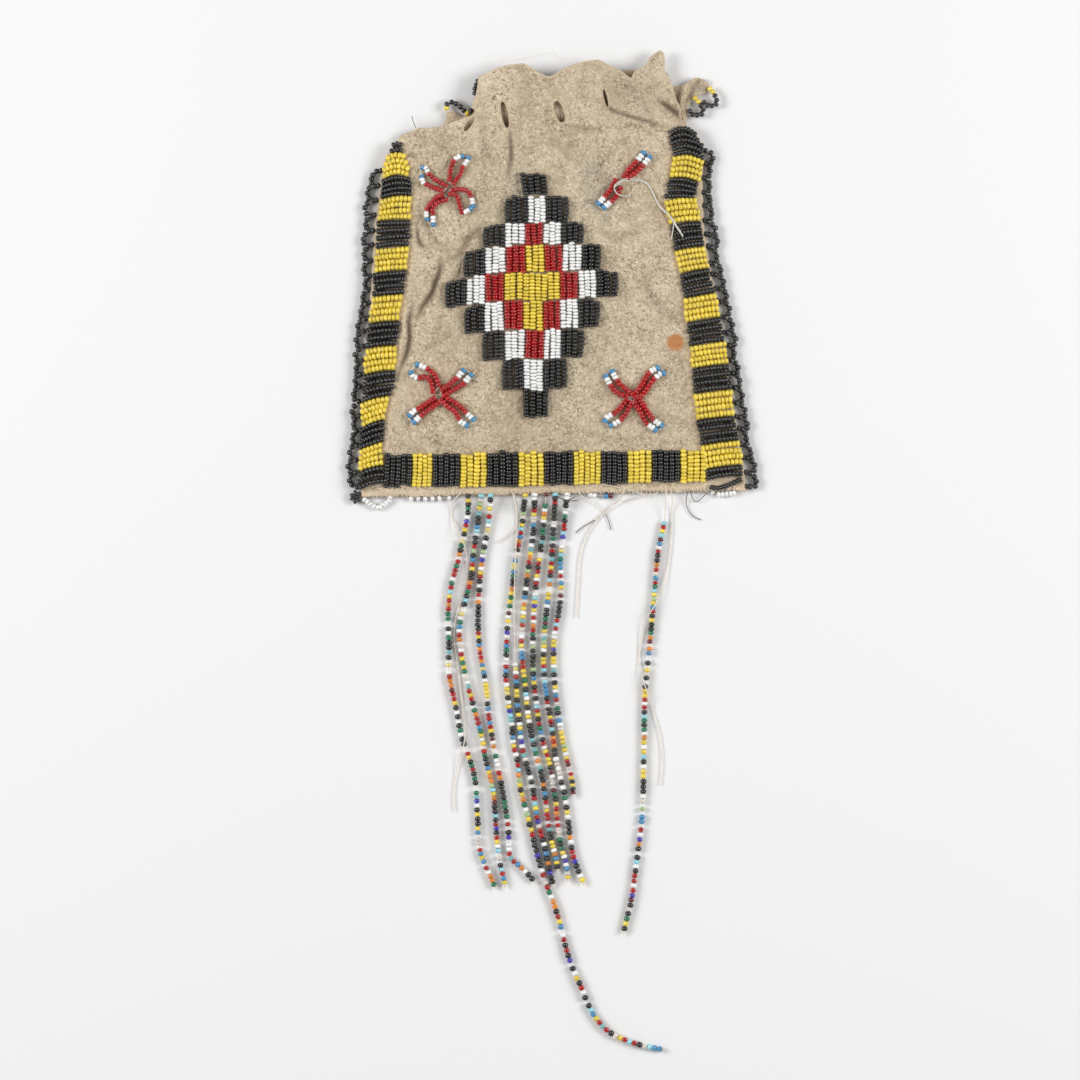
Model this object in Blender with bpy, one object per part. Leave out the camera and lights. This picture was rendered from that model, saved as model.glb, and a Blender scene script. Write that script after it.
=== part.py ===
"""A flat hide pouch, lane-stitched with glass beads, with a fringe of bead strands.

The pouch lies on its back. +X is its right side, +Y runs from the bottom seam to the
mouth and +Z points up from the surface that it lies on. The origin is on the underside
of the back panel, near the middle of the pouch.
"""

import bisect
import math

import bmesh
import bpy
from mathutils import Vector

MM = 0.001

# Hide panels
HIDE_THICKNESS = 1.2 * MM
FIT_GAP = 0.3 * MM
BAG_WIDTH = 131.0 * MM
BAG_HEIGHT = 121.4 * MM
BOTTOM_RISE = 2.2 * MM
BAG_FULLNESS = 5.5 * MM
SLOPE_WIDTH = 26.0 * MM
MOUTH_HEIGHT = 30.6 * MM
ORIGIN_HEIGHT_SHARE = 0.608
PLATEAU_COLUMNS = 4
UPPER_ROW_SHARES = (0.40, 0.56, 0.72, 0.84, 0.92, 0.97, 1.0)
SETTLING_ROUNDS = 3

# Glass beads and the lanes they make
BEAD_DIAMETER = 2.0 * MM
BEAD_PITCH = 1.6 * MM
CREST_SHARE = 0.95
VALLEY_SHARE = 0.62
LANE_GAP = 0.3 * MM
LANE_DROOP = 2.4 * MM
BAND_FLOOR_COUNT = 2
LANE_FLOOR_COUNT = 3
ARM_FLOOR_COUNT = 1

# Bands along the side seams and the bottom seam
BAND_INSET = 0.7 * MM
BAND_WIDTH = 10.8 * MM
HEM_WIDTH = 3.4 * MM
BOTTOM_BAND_WIDTH = 11.8 * MM
BAND_CLEARANCE = 1.0 * MM
SIDE_BAND_ACROSS_SHARES = (0.0, 0.45, 1.0)
BOTTOM_BAND_ACROSS_SHARES = (0.0, 0.35, 0.7, 1.0)
LANE_ACROSS_SHARES = (0.0, 1.0)

# Edging of short bead loops outside the seams
EDGING_REACH = 4.3 * MM
EDGING_VALLEY = 1.6 * MM
EDGING_PITCH = 3.9 * MM
EDGING_GAP = 0.6 * MM
EDGING_THICKNESS = 1.8 * MM
TRIM_DIAMETER = 1.7 * MM
CORNER_LOOP_DROP = 3.2 * MM
LEFT_EDGING_TOP_SHARE = 0.905
RIGHT_EDGING_TOP_SHARE = 0.966

# Fringe
STRAND_DIAMETER = BEAD_DIAMETER
THREAD_DIAMETER = 0.5 * MM
CORD_STEP = 5.6 * MM
THREAD_STEP = 4.0 * MM
STITCH_INSET = 0.5 * MM

# Tall enough to pass through one sheet of hide
CUT_OVERRUN = 2.0 * MM

HALF_WIDTH = 0.5 * BAG_WIDTH
BOTTOM_Y = -ORIGIN_HEIGHT_SHARE * BAG_HEIGHT
FOLD_Y = BOTTOM_Y + BAG_HEIGHT
SEAM_TOP = 2 * HIDE_THICKNESS + FIT_GAP
FLAP_AXIS_HEIGHT = SEAM_TOP + BAG_FULLNESS
TABLE_CLEARANCE = 0.1 * MM

# Share of the bag's height above the bottom seam, share of the half width
LEFT_EDGE_SHARES = ((0.0, 1.0), (0.076, 1.012), (0.487, 0.965), (0.762, 0.934),
                    (0.910, 0.900), (0.941, 0.885), (0.972, 0.851), (1.0, 0.812))
RIGHT_EDGE_SHARES = ((0.0, 1.0), (0.084, 0.99), (0.294, 0.919), (0.487, 0.872),
                     (0.633, 0.815), (0.762, 0.779), (0.894, 0.774), (0.972, 0.768),
                     (1.0, 0.757))

# Share of the slope's width in from a seam, share of the bag's fullness
FULLNESS_SHARES = ((0.0, 0.0), (0.12, 0.08), (0.27, 0.34), (0.44, 0.60), (0.68, 0.86), (1.0, 1.0))

# Share of the half width, share of the mouth's height above the fold line
FRONT_MOUTH_SHARES = (
    (-0.80, 0.03), (-0.696, 0.122), (-0.571, 0.133), (-0.457, 0.222), (-0.415, 0.267),
    (-0.395, 0.644), (-0.343, 0.756), (-0.249, 0.822), (-0.156, 0.833), (-0.073, 0.756),
    (-0.005, 0.667), (0.067, 0.722), (0.197, 0.878), (0.28, 0.822), (0.337, 0.778),
    (0.40, 0.656), (0.415, 0.756), (0.472, 0.822), (0.524, 0.933), (0.555, 1.0),
    (0.576, 0.711), (0.602, 0.678), (0.654, 0.289), (0.675, 0.156), (0.706, 0.03))
BACK_MOUTH_SHARES = (
    (-0.80, 0.022), (-0.592, 0.10), (-0.566, 0.289), (-0.535, 0.328), (-0.462, 0.30),
    (-0.426, 0.311), (-0.395, 0.578), (-0.306, 0.667), (-0.005, 0.556), (0.197, 0.778),
    (0.337, 0.70), (0.41, 0.711), (0.524, 0.867), (0.592, 0.644), (0.633, 0.589),
    (0.732, 0.689), (0.784, 0.667), (0.805, 0.578), (0.758, 0.511), (0.716, 0.478),
    (0.690, 0.333), (0.685, 0.2), (0.716, 0.044))

# Drawstring slits: centre as shares of the half width and the mouth's height,
# then width and length, then the turn from +Y in degrees
SLITS = (
    (-0.436, 0.155, 0.7 * MM, 4.9 * MM, -33.7),
    (-0.252, 0.267, 2.4 * MM, 9.2 * MM, 15.0),
    (0.031, 0.300, 3.1 * MM, 6.8 * MM, 0.0),
    (0.267, 0.456, 1.0 * MM, 6.4 * MM, 15.5))
SLIT_SIDES = 12

BLACK, YELLOW, WHITE, RED, BLUE = range(5)
BEAD_COLOURS = {"K": BLACK, "Y": YELLOW, "W": WHITE, "R": RED, "B": BLUE}

# One letter for the colour of each bead row of a band, from the top or from the left
LEFT_BAND_TOP_SHARE = 0.983
LEFT_BAND_ROWS = "KK YYYY KKKK YYYY KKKK YYYY KKKK YYYY KKKK YYYY KKKK YYYY KKKK YYYY KKK"
RIGHT_BAND_TOP_SHARE = 0.985
RIGHT_BAND_ROWS = "KKKKK YYYY KKKK YYYY KKKK YYYY KKKK YYYY KKKK YYYY KKKK YYYY KKKK YYYY KKK"
BOTTOM_BAND_ROWS = "KKKKK YYYY KKKKK YYYY KKKKK YYYY KKKKK YYYYY KKKKK YYYY KKKKK YYYY"

# Share of the bag's height above the bottom seam, share of the band's width: the left band
# narrows to a point at its top
LEFT_BAND_TAPER_SHARES = ((0.888, 1.0), (0.941, 0.76), (0.955, 0.55), (0.983, 0.24))
RIGHT_BAND_TAPER_SHARES = ((0.955, 1.0), (0.985, 0.92))

# Lanes of the stepped diamond, top to bottom: top and bottom edge as shares of the bag's
# height above the bottom seam, left and right end as shares of the half width, columns
DIAMOND_LANE_SHARES = (
    (0.905, 0.842, -0.166, -0.036, "KKKK"),
    (0.842, 0.764, -0.249, 0.068, "KKKK WWW KKKK"),
    (0.764, 0.698, -0.369, 0.151, "KKKK WWW RRR WWW KKKK"),
    (0.698, 0.625, -0.462, 0.239, "KKK WWW RRR YYY RRR WWW KKK"),
    (0.625, 0.546, -0.561, 0.322, "KKKK WWW RRR YYYYYYYYY RRR WWW KKK"),
    (0.546, 0.467, -0.462, 0.228, "KKK WWW RRR YYY RRR WWW KKK"),
    (0.467, 0.387, -0.369, 0.151, "KKKK WWW RRR WWW KKKK"),
    (0.387, 0.300, -0.265, 0.062, "KKKK WWW KKKK"),
    (0.300, 0.221, -0.158, -0.031, "KKKK"))
DIAMOND_CENTRE_SHARE = -0.119
DIAMOND_LEFT_SHARE = -0.561

# Crossed rows: the side whose band they lie beside, how far their centre is in from that
# band as a share of the half width, and its share of the bag's height
CROSS_PLACE_SHARES = {
    "upper_left_star": ("left", 0.186, 0.860),
    "lower_left_cross": ("left", 0.211, 0.283),
    "lower_right_cross": ("right", 0.340, 0.272)}
# Each arm's direction as a share of a turn from +X, and its bead rows from the centre outwards
CROSS_ARM_SHARES = {
    "upper_left_star": ((-0.068, "RRWB"), (0.183, "RRRRWB"), (0.409, "RRRWB"), (0.670, "RRRRWB")),
    "lower_left_cross": ((-0.111, "RRRRRWB"), (0.105, "RRRRWB"), (0.362, "RRRRWB"),
                         (0.617, "RRRRWB")),
    "lower_right_cross": ((-0.143, "RRRRWB"), (0.129, "RRRRRWB"), (0.372, "RRRRWB"),
                          (0.623, "RRRWB"))}
BAR_NAME = "upper_right_bar"
BAR_START_SHARES = (0.488, 0.955)
BAR_END_SHARES = (0.244, 0.812)
ARM_WIDTH = 4.0 * MM

# Bead trims at the mouth: shares of the half width and of the mouth's height
MOUTH_TRIMS = {
    "left_ear_loop": ((-0.571, 0.344), (-0.550, 0.385), (-0.519, 0.400), (-0.488, 0.378),
                      (-0.462, 0.349), (-0.436, 0.354)),
    "left_mouth_beads": ((-0.438, 0.430), (-0.424, 0.520), (-0.414, 0.640), (-0.400, 0.705)),
    "right_ear_loop_upper": ((0.8205, 0.566), (0.846, 0.480), (0.846, 0.405), (0.830, 0.365),
                             (0.802, 0.366), (0.782, 0.400)),
    "right_ear_loop_lower": ((0.743, 0.461), (0.760, 0.375), (0.768, 0.305), (0.748, 0.265),
                             (0.7045, 0.286))}

# White edging that shows below the bottom seam: where it starts and ends along the seam
BOTTOM_EDGINGS = {
    "bottom_edging_left": (-0.830, -0.535),
    "bottom_edging_middle": (0.160, 0.278),
    "bottom_edging_right": (0.812, 0.968)}
# Share of the half width, share of the corner loop's drop below the seam
CORNER_LOOP_SHARES = ((-0.985, 0.12), (-0.961, 0.58), (-0.925, 0.95), (-0.884, 0.85),
                      (-0.851, 0.32))

# Each strand's stitch as a share of the half width, then its route from that stitch in
# millimetres: across, along, and the height of its middle above the surface
FRINGE_ROUTES = {
    "fringe_left_1": (-0.446, (
        (0.0, 0.0, 4.0), (0.0, -2.5, 3.6), (0.0, -6.0, 2.0), (-1.4, -14.0, 1.1),
        (-3.7, -23.6, 1.1), (-5.8, -31.7, 1.1), (-6.8, -41.6, 1.1), (-6.5, -51.8, 1.1),
        (-6.5, -61.0, 1.1), (-4.1, -72.9, 1.1), (-2.0, -83.1, 1.1), (0.0, -88.5, 1.1),
        (2.4, -97.3, 1.1), (3.1, -107.2, 1.1), (3.7, -119.4, 1.1), (6.1, -126.9, 1.1),
        (9.2, -133.4, 1.1))),
    "fringe_left_2": (-0.376, (
        (0.0, 0.0, 4.0), (-0.3, -2.5, 3.6), (-0.8, -6.0, 2.0), (-1.2, -9.3, 1.1),
        (-2.6, -19.5, 1.1), (-3.6, -28.7, 1.1), (-5.9, -37.9, 1.1), (-7.5, -44.7, 1.1),
        (-7.0, -53.2, 1.1), (-5.6, -61.0, 1.1), (-3.2, -70.5, 1.1), (-0.5, -80.4, 1.1),
        (1.5, -90.6, 1.1), (3.9, -100.8, 1.1), (4.9, -112.7, 1.1), (5.9, -123.6, 1.1),
        (8.0, -132.8, 1.1))),
    "fringe_left_3": (-0.327, (
        (0.0, 0.0, 4.0), (-0.2, -2.5, 3.6), (-0.5, -6.0, 2.0), (-1.0, -11.4, 1.1),
        (-2.7, -20.6, 1.1), (-3.9, -31.2, 1.1), (-4.4, -43.1, 1.1), (-3.7, -53.9, 1.1),
        (-1.7, -65.5, 1.1), (-0.7, -76.0, 1.1), (0.7, -84.5, 1.1), (2.7, -94.7, 1.1),
        (4.8, -106.0, 1.1), (6.1, -116.2, 1.1), (6.1, -120.6, 1.1), (6.8, -124.0, 1.1),
        (10.5, -127.4, 1.1), (14.6, -131.5, 1.1))),
    "fringe_centre_1": (-0.148, (
        (0.0, 0.0, 4.0), (-0.3, -2.5, 3.6), (-0.7, -6.0, 2.0), (-1.0, -9.3, 1.1),
        (-2.2, -16.7, 1.1), (-3.6, -23.5, 1.1), (-4.2, -30.3, 1.1), (-5.4, -38.5, 1.1),
        (-6.2, -46.7, 1.1), (-6.5, -53.5, 1.1), (-6.6, -62.3, 1.1), (-5.9, -70.5, 1.1),
        (-4.6, -79.0, 1.1), (-4.1, -85.8, 1.1), (-2.7, -91.5, 1.1), (-1.9, -99.4, 1.1),
        (-0.2, -106.5, 1.1), (1.9, -114.7, 1.1), (3.6, -121.5, 1.1), (5.3, -127.6, 1.1),
        (7.7, -134.7, 1.1), (9.7, -139.5, 1.1), (11.7, -146.3, 1.1), (13.8, -154.8, 1.1),
        (16.2, -161.9, 1.1), (18.9, -168.0, 1.1), (21.6, -174.5, 1.1), (24.7, -179.6, 1.1),
        (29.1, -183.7, 1.1), (35.9, -186.7, 1.1), (41.0, -188.1, 1.1), (46.4, -189.1, 1.1))),
    "fringe_centre_2": (-0.100, (
        (0.0, 0.0, 4.0), (-0.1, -2.5, 3.6), (-0.2, -6.0, 2.0), (-0.4, -10.0, 1.1),
        (-0.6, -14.1, 1.1), (-2.3, -26.3, 1.1), (-3.6, -38.2, 1.1), (-4.5, -50.1, 1.1),
        (-4.0, -58.6, 1.1), (-3.0, -67.1, 1.1), (-2.3, -75.3, 1.1), (-0.9, -83.4, 1.1),
        (1.0, -90.9, 1.1), (2.7, -97.7, 1.1), (3.7, -104.5, 1.1), (4.7, -112.7, 1.1),
        (6.1, -119.8, 1.1), (7.2, -124.2, 1.1), (7.9, -128.0, 1.1))),
    "fringe_centre_3": (-0.040, (
        (0.0, 0.0, 4.0), (-0.2, -2.5, 3.6), (-0.5, -6.0, 2.0), (-0.9, -10.0, 1.1),
        (-1.5, -16.5, 1.1), (-3.5, -31.5, 1.1), (-4.5, -46.8, 1.1), (-4.5, -59.7, 1.1),
        (-3.5, -70.6, 1.1), (-2.5, -78.1, 1.1), (-0.8, -85.9, 1.1), (1.1, -92.3, 1.1),
        (2.3, -99.5, 1.1), (3.3, -106.3, 1.1), (4.1, -114.1, 1.1), (5.0, -120.2, 1.1),
        (6.5, -125.7, 1.1), (7.4, -131.4, 1.1))),
    "fringe_centre_4": (0.007, (
        (0.0, 0.0, 4.0), (-0.1, -2.5, 3.6), (-0.3, -6.0, 2.0), (-0.5, -10.0, 1.1),
        (-1.0, -19.0, 1.1), (-2.0, -31.5, 1.1), (-3.5, -45.1, 1.1), (-4.0, -58.7, 1.1),
        (-2.8, -70.6, 1.1), (-1.1, -80.8, 1.1), (-0.1, -89.0, 1.1), (1.6, -96.5, 1.1),
        (3.3, -104.0, 1.1), (4.3, -111.4, 1.1), (5.2, -118.9, 1.1), (6.7, -125.7, 1.1),
        (9.4, -132.5, 1.1))),
    "fringe_centre_5": (0.069, (
        (0.0, 0.0, 4.0), (-0.2, -2.5, 3.6), (-0.6, -6.0, 2.0), (-0.9, -10.0, 1.1),
        (-1.1, -12.2, 1.1), (-2.3, -23.1, 1.1), (-2.1, -31.6, 1.1), (-2.7, -39.4, 1.1),
        (-4.5, -50.3, 1.1), (-4.5, -61.2, 1.1), (-3.5, -72.1, 1.1), (-2.1, -81.6, 1.1),
        (-0.4, -89.7, 1.1), (1.3, -96.5, 1.1), (2.1, -102.7, 1.1))),
    "fringe_right": (0.581, (
        (0.0, 0.0, 4.0), (-0.1, -2.5, 3.6), (-0.3, -6.0, 2.0), (-0.5, -10.4, 1.1),
        (-2.7, -21.3, 1.1), (-3.7, -32.2, 1.1), (-4.8, -44.4, 1.1), (-6.1, -58.0, 1.1),
        (-7.1, -68.5, 1.1), (-7.5, -85.5, 1.1), (-7.8, -101.5, 1.1), (-8.5, -115.1, 1.1),
        (-10.2, -127.7, 1.1), (-11.6, -138.2, 1.1), (-14.3, -149.8, 1.1)))}

# The sixth centre strand hangs from a bare thread that lies over its left neighbour
CROSSING_STRAND = "fringe_centre_6"
CROSSING_STITCH_SHARE = -0.213
CROSSING_BARE_POINTS = 8
CROSSING_ROUTE = (
    (0.0, 0.0, 3.2), (0.5, -2.4, 3.0), (1.2, -6.5, 2.7), (1.2, -14.3, 2.7), (0.8, -22.8, 2.7),
    (0.6, -30.6, 2.7), (0.4, -38.4, 2.6), (0.5, -44.9, 1.9), (0.5, -51.7, 1.1), (0.7, -56.8, 1.1),
    (1.0, -62.2, 1.1), (1.4, -70.4, 1.1), (2.2, -77.9, 1.1), (2.9, -84.7, 1.1), (4.4, -91.5, 1.1),
    (6.5, -99.0, 1.1), (7.5, -105.8, 1.1), (8.8, -113.2, 1.1), (10.9, -120.7, 1.1),
    (12.1, -126.8, 1.1), (13.6, -133.0, 1.1))

# Loose ends of the sewing thread
LOOSE_THREADS = {
    "loose_thread_left": (-0.491, (
        (0.0, 0.0, 3.2), (-1.9, -2.4, 2.4), (-2.7, -4.8, 0.5), (-2.5, -8.2, 0.4),
        (-0.9, -12.3, 1.9), (0.7, -15.3, 2.8), (2.0, -18.4, 2.2), (2.6, -23.2, 0.5),
        (2.2, -29.3, 0.4), (0.9, -34.7, 0.4), (-0.3, -38.8, 0.4), (-1.5, -43.6, 0.4),
        (-1.7, -50.0, 0.4), (-1.0, -54.8, 0.4), (-0.2, -61.6, 0.4), (0.5, -68.0, 0.4),
        (1.4, -75.2, 0.6), (1.9, -81.0, 1.8), (1.4, -85.7, 2.6), (-0.3, -90.5, 0.9),
        (-1.2, -95.9, 0.4), (-1.9, -102.0, 0.4), (-1.7, -107.8, 0.4))),
    "loose_thread_centre": (0.363, (
        (0.0, 0.0, 3.2), (-2.0, -3.0, 2.2), (-4.8, -5.7, 0.6), (-8.2, -8.8, 0.4),
        (-11.2, -12.5, 0.4), (-13.4, -16.6, 0.4), (-15.0, -22.7, 0.4), (-15.6, -31.2, 0.4),
        (-16.0, -37.7, 0.4), (-16.3, -43.1, 0.4))),
    "loose_thread_right": (0.607, (
        (0.0, 0.0, 3.2), (0.5, -3.3, 2.4), (0.3, -6.7, 0.5), (0.2, -14.9, 0.4),
        (-1.0, -25.7, 0.4), (-3.4, -34.6, 1.4), (-6.3, -40.4, 2.8), (-9.2, -44.8, 1.3),
        (-10.5, -52.3, 0.4), (-10.7, -59.1, 0.5), (-9.5, -64.5, 2.4), (-7.8, -69.3, 2.5),
        (-6.6, -73.3, 0.5), (-5.1, -78.8, 0.4), (-3.6, -84.9, 0.4), (-3.1, -91.7, 0.4),
        (-3.7, -100.2, 0.4)))}


def clear_scene():
    """Start from an empty file."""
    for obj in list(bpy.data.objects):
        bpy.data.objects.remove(obj, do_unlink=True)


def make_material(name, colour, roughness, metallic=0.0):
    """A Principled material with one colour."""
    material = bpy.data.materials.new(name)
    material.use_nodes = True
    shader = material.node_tree.nodes["Principled BSDF"]
    shader.inputs["Base Color"].default_value = (*colour, 1.0)
    shader.inputs["Roughness"].default_value = roughness
    shader.inputs["Metallic"].default_value = metallic
    material.diffuse_color = (*colour, 1.0)
    return material


def between(table, value):
    """Read a table of pairs at a value, straight between its rows."""
    keys = [row[0] for row in table]
    if value <= keys[0]:
        return table[0][1]
    if value >= keys[-1]:
        return table[-1][1]
    upper = bisect.bisect_right(keys, value)
    low, high = table[upper - 1], table[upper]
    share = (value - low[0]) / (high[0] - low[0])
    return low[1] + share * (high[1] - low[1])


def left_edge(y):
    """X of the left side seam's outer edge."""
    return -HALF_WIDTH * between(LEFT_EDGE_SHARES, (y - BOTTOM_Y) / BAG_HEIGHT)


def right_edge(y):
    """X of the right side seam's outer edge."""
    return HALF_WIDTH * between(RIGHT_EDGE_SHARES, (y - BOTTOM_Y) / BAG_HEIGHT)


def bottom_line(x):
    """Y of the bottom seam's outer edge, which climbs to the right."""
    return BOTTOM_Y + BOTTOM_RISE * (x + HALF_WIDTH) / BAG_WIDTH


def fullness(distance):
    """How far the front has risen at a distance in from a seam, from 0 to 1."""
    return between(FULLNESS_SHARES, distance / SLOPE_WIDTH)


def front_height(x, y):
    """Height of the front panel's outer face above the surface that the bag lies on."""
    y = min(y, FOLD_Y)
    rise = fullness(x - left_edge(y)) * fullness(right_edge(y) - x) * fullness(y - bottom_line(x))
    return SEAM_TOP + BAG_FULLNESS * rise


def bag_y(share):
    """Y at a share of the bag's height above the bottom seam's left end."""
    return BOTTOM_Y + share * BAG_HEIGHT


def mouth_y(share):
    """Y at a share of the mouth's height above the fold line."""
    return FOLD_Y + share * MOUTH_HEIGHT


def link(name, mesh, materials):
    """Put a mesh into the scene under its node's name."""
    for material in materials:
        mesh.materials.append(material)
    obj = bpy.data.objects.new(name, mesh)
    bpy.context.scene.collection.objects.link(obj)
    return obj


def bmesh_to_object(shape, name, materials):
    """Turn a finished bmesh into an object whose faces point out."""
    bmesh.ops.recalc_face_normals(shape, faces=shape.faces)
    mesh = bpy.data.meshes.new(name)
    shape.to_mesh(mesh)
    shape.free()
    return link(name, mesh, materials)


def set_origin(obj, point):
    """Move an object's origin without moving its shape."""
    point = Vector(point)
    for vertex in obj.data.vertices:
        vertex.co -= point
    obj.location = point


def thicken_down(shape, thickness):
    """Give a sheet of faces its thickness, straight down."""
    grown = bmesh.ops.extrude_face_region(shape, geom=list(shape.faces))
    lower = [item for item in grown["geom"] if isinstance(item, bmesh.types.BMVert)]
    bmesh.ops.translate(shape, verts=lower, vec=(0.0, 0.0, -thickness))


def grid_sheet(name, columns, materials):
    """A sheet of hide through columns of points on its outer face."""
    shape = bmesh.new()
    grid = [[shape.verts.new(point) for point in column] for column in columns]
    for left, right in zip(grid, grid[1:]):
        for row in range(len(left) - 1):
            shape.faces.new((left[row], right[row], right[row + 1], left[row + 1]))
    thicken_down(shape, HIDE_THICKNESS)
    return bmesh_to_object(shape, name, materials)


def panel_point(column, row_height):
    """A point of the front panel, in a column a way in from a seam or across the middle."""
    y = BOTTOM_Y + row_height
    x = 0.0
    for _ in range(SETTLING_ROUNDS):
        low, high = left_edge(y), right_edge(y)
        if column[0] == "left":
            x = low + column[1]
        elif column[0] == "right":
            x = high - column[1]
        else:
            x = low + SLOPE_WIDTH + column[1] * (high - low - 2 * SLOPE_WIDTH)
        y = bottom_line(x) + row_height * (FOLD_Y - bottom_line(x)) / BAG_HEIGHT
    return (x, y, front_height(x, y))


def make_front_panel(materials):
    """The front of the bag from the bottom seam to the fold line of the mouth."""
    steps = [share * SLOPE_WIDTH for share, _ in FULLNESS_SHARES]
    middle = [("middle", (i + 1) / PLATEAU_COLUMNS) for i in range(PLATEAU_COLUMNS - 1)]
    columns = [("left", step) for step in steps] + middle
    columns += [("right", step) for step in reversed(steps)]
    rows = steps + [share * BAG_HEIGHT for share in UPPER_ROW_SHARES]
    points = [[panel_point(column, row) for row in rows] for column in columns]
    return grid_sheet("front_panel", points, materials)


def make_slit_cutter(index, slit):
    """A lens-shaped cutter for one drawstring slit."""
    x_share, y_share, width, length, turn = slit
    x = x_share * HALF_WIDTH
    y = mouth_y(y_share)
    depth = HIDE_THICKNESS + 2 * CUT_OVERRUN
    shape = bmesh.new()
    bmesh.ops.create_cone(shape, cap_ends=True, segments=SLIT_SIDES, radius1=0.5 * length,
                          radius2=0.5 * length, depth=depth)
    bmesh.ops.scale(shape, verts=shape.verts, vec=(width / length, 1.0, 1.0))
    cutter = bmesh_to_object(shape, f"slit_cutter_{index}", [])
    cutter.location = (x, y, front_height(x, y) - 0.5 * HIDE_THICKNESS)
    cutter.rotation_euler = (0.0, 0.0, math.radians(turn))
    cutter.display_type = "WIRE"
    cutter.hide_render = True
    return cutter


def make_mouth_flap(materials):
    """The free front edge of the mouth, above the fold line, with its slits."""
    columns = []
    for x_share, top_share in FRONT_MOUTH_SHARES:
        x = x_share * HALF_WIDTH
        low, high = FOLD_Y + FIT_GAP, mouth_y(top_share)
        heights = [low + share * (high - low) for share in (0.0, 0.5, 1.0)]
        columns.append([(x, y, front_height(x, y)) for y in heights])
    flap = grid_sheet("front_mouth_flap", columns, materials)
    set_origin(flap, (0.0, FOLD_Y, FLAP_AXIS_HEIGHT))
    for index, slit in enumerate(SLITS):
        cut = flap.modifiers.new(f"slit_{index}", "BOOLEAN")
        cut.operation = "DIFFERENCE"
        cut.solver = "EXACT"
        cut.object = make_slit_cutter(index, slit)
    return flap


def make_back_panel(materials):
    """The flat back of the bag, with the two ears that stand past the front's mouth."""
    points = [(-HALF_WIDTH * part, bag_y(share)) for share, part in LEFT_EDGE_SHARES]
    points += [(x * HALF_WIDTH, mouth_y(share)) for x, share in BACK_MOUTH_SHARES]
    points += [(HALF_WIDTH * part, bag_y(share)) for share, part in reversed(RIGHT_EDGE_SHARES)]
    points[-1] = (HALF_WIDTH, bottom_line(HALF_WIDTH))
    shape = bmesh.new()
    face = shape.faces.new([shape.verts.new((x, y, HIDE_THICKNESS)) for x, y in points])
    face.normal_update()
    if face.normal.z < 0.0:
        face.normal_flip()
    thicken_down(shape, HIDE_THICKNESS)
    return bmesh_to_object(shape, "back_panel", materials)


def strip_rows(stations, across):
    """Points of a ribbed strip: valleys at the stations and crests between them."""
    rows = []
    for index, (start, end) in enumerate(stations):
        start, end = Vector(start), Vector(end)
        rows.append(([start.lerp(end, share) for share in across], VALLEY_SHARE))
        if index + 1 < len(stations):
            middle_start = start.lerp(Vector(stations[index + 1][0]), 0.5)
            middle_end = end.lerp(Vector(stations[index + 1][1]), 0.5)
            rows.append(([middle_start.lerp(middle_end, share) for share in across], CREST_SHARE))
    return rows


def beaded_strip(name, stations, colours, across, materials, floor_count):
    """A run of bead columns laid side by side on the hide, one rib for each column."""
    shape = bmesh.new()
    top = []
    for points, rise in strip_rows(stations, across):
        top.append([shape.verts.new((p.x, p.y, front_height(p.x, p.y) + FIT_GAP
                                     + rise * BEAD_DIAMETER)) for p in points])
    count = len(stations) - 1
    marks = sorted(set(range(0, count, floor_count)) | {count})
    floor = []
    for mark in marks:
        start, end = Vector(stations[mark][0]), Vector(stations[mark][1])
        points = [start.lerp(end, share) for share in across]
        floor.append([shape.verts.new((p.x, p.y, front_height(p.x, p.y) + FIT_GAP))
                      for p in points])
    for row in range(len(top) - 1):
        for k in range(len(across) - 1):
            face = shape.faces.new((top[row][k], top[row][k + 1],
                                    top[row + 1][k + 1], top[row + 1][k]))
            face.material_index = colours[row // 2]
    for index in range(len(marks) - 1):
        low, high = 2 * marks[index], 2 * marks[index + 1]
        for k in range(len(across) - 1):
            shape.faces.new((floor[index][k], floor[index + 1][k],
                             floor[index + 1][k + 1], floor[index][k + 1]))
        for k in (0, len(across) - 1):
            rim = [top[row][k] for row in range(low, high + 1)]
            wall = shape.faces.new([floor[index][k]] + rim + [floor[index + 1][k]])
            wall.material_index = colours[marks[index]]
    for upper, lower, colour in ((top[0], floor[0], colours[0]), (top[-1], floor[-1], colours[-1])):
        cap = shape.faces.new(upper + list(reversed(lower)))
        cap.material_index = colour
    return bmesh_to_object(shape, name, materials)


def colours_of(rows):
    """One colour for each letter of a run of bead rows."""
    return [BEAD_COLOURS[letter] for letter in rows if letter != " "]


def make_side_band(name, rows, top_share, taper, edge, inward, materials):
    """A band of bead rows along one side seam, from its top down to the bottom band's foot."""
    colours = colours_of(rows)
    top_y = bag_y(top_share)
    bottom_y = bottom_line(edge(BOTTOM_Y)) + HEM_WIDTH
    stations = []
    for index in range(len(colours) + 1):
        y = top_y + index / len(colours) * (bottom_y - top_y)
        outer = edge(y) + inward * BAND_INSET
        width = BAND_WIDTH * between(taper, (y - BOTTOM_Y) / BAG_HEIGHT)
        stations.append(((outer, y), (outer + inward * width, y)))
    return beaded_strip(name, stations, colours, SIDE_BAND_ACROSS_SHARES, materials,
                        BAND_FLOOR_COUNT)


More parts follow.
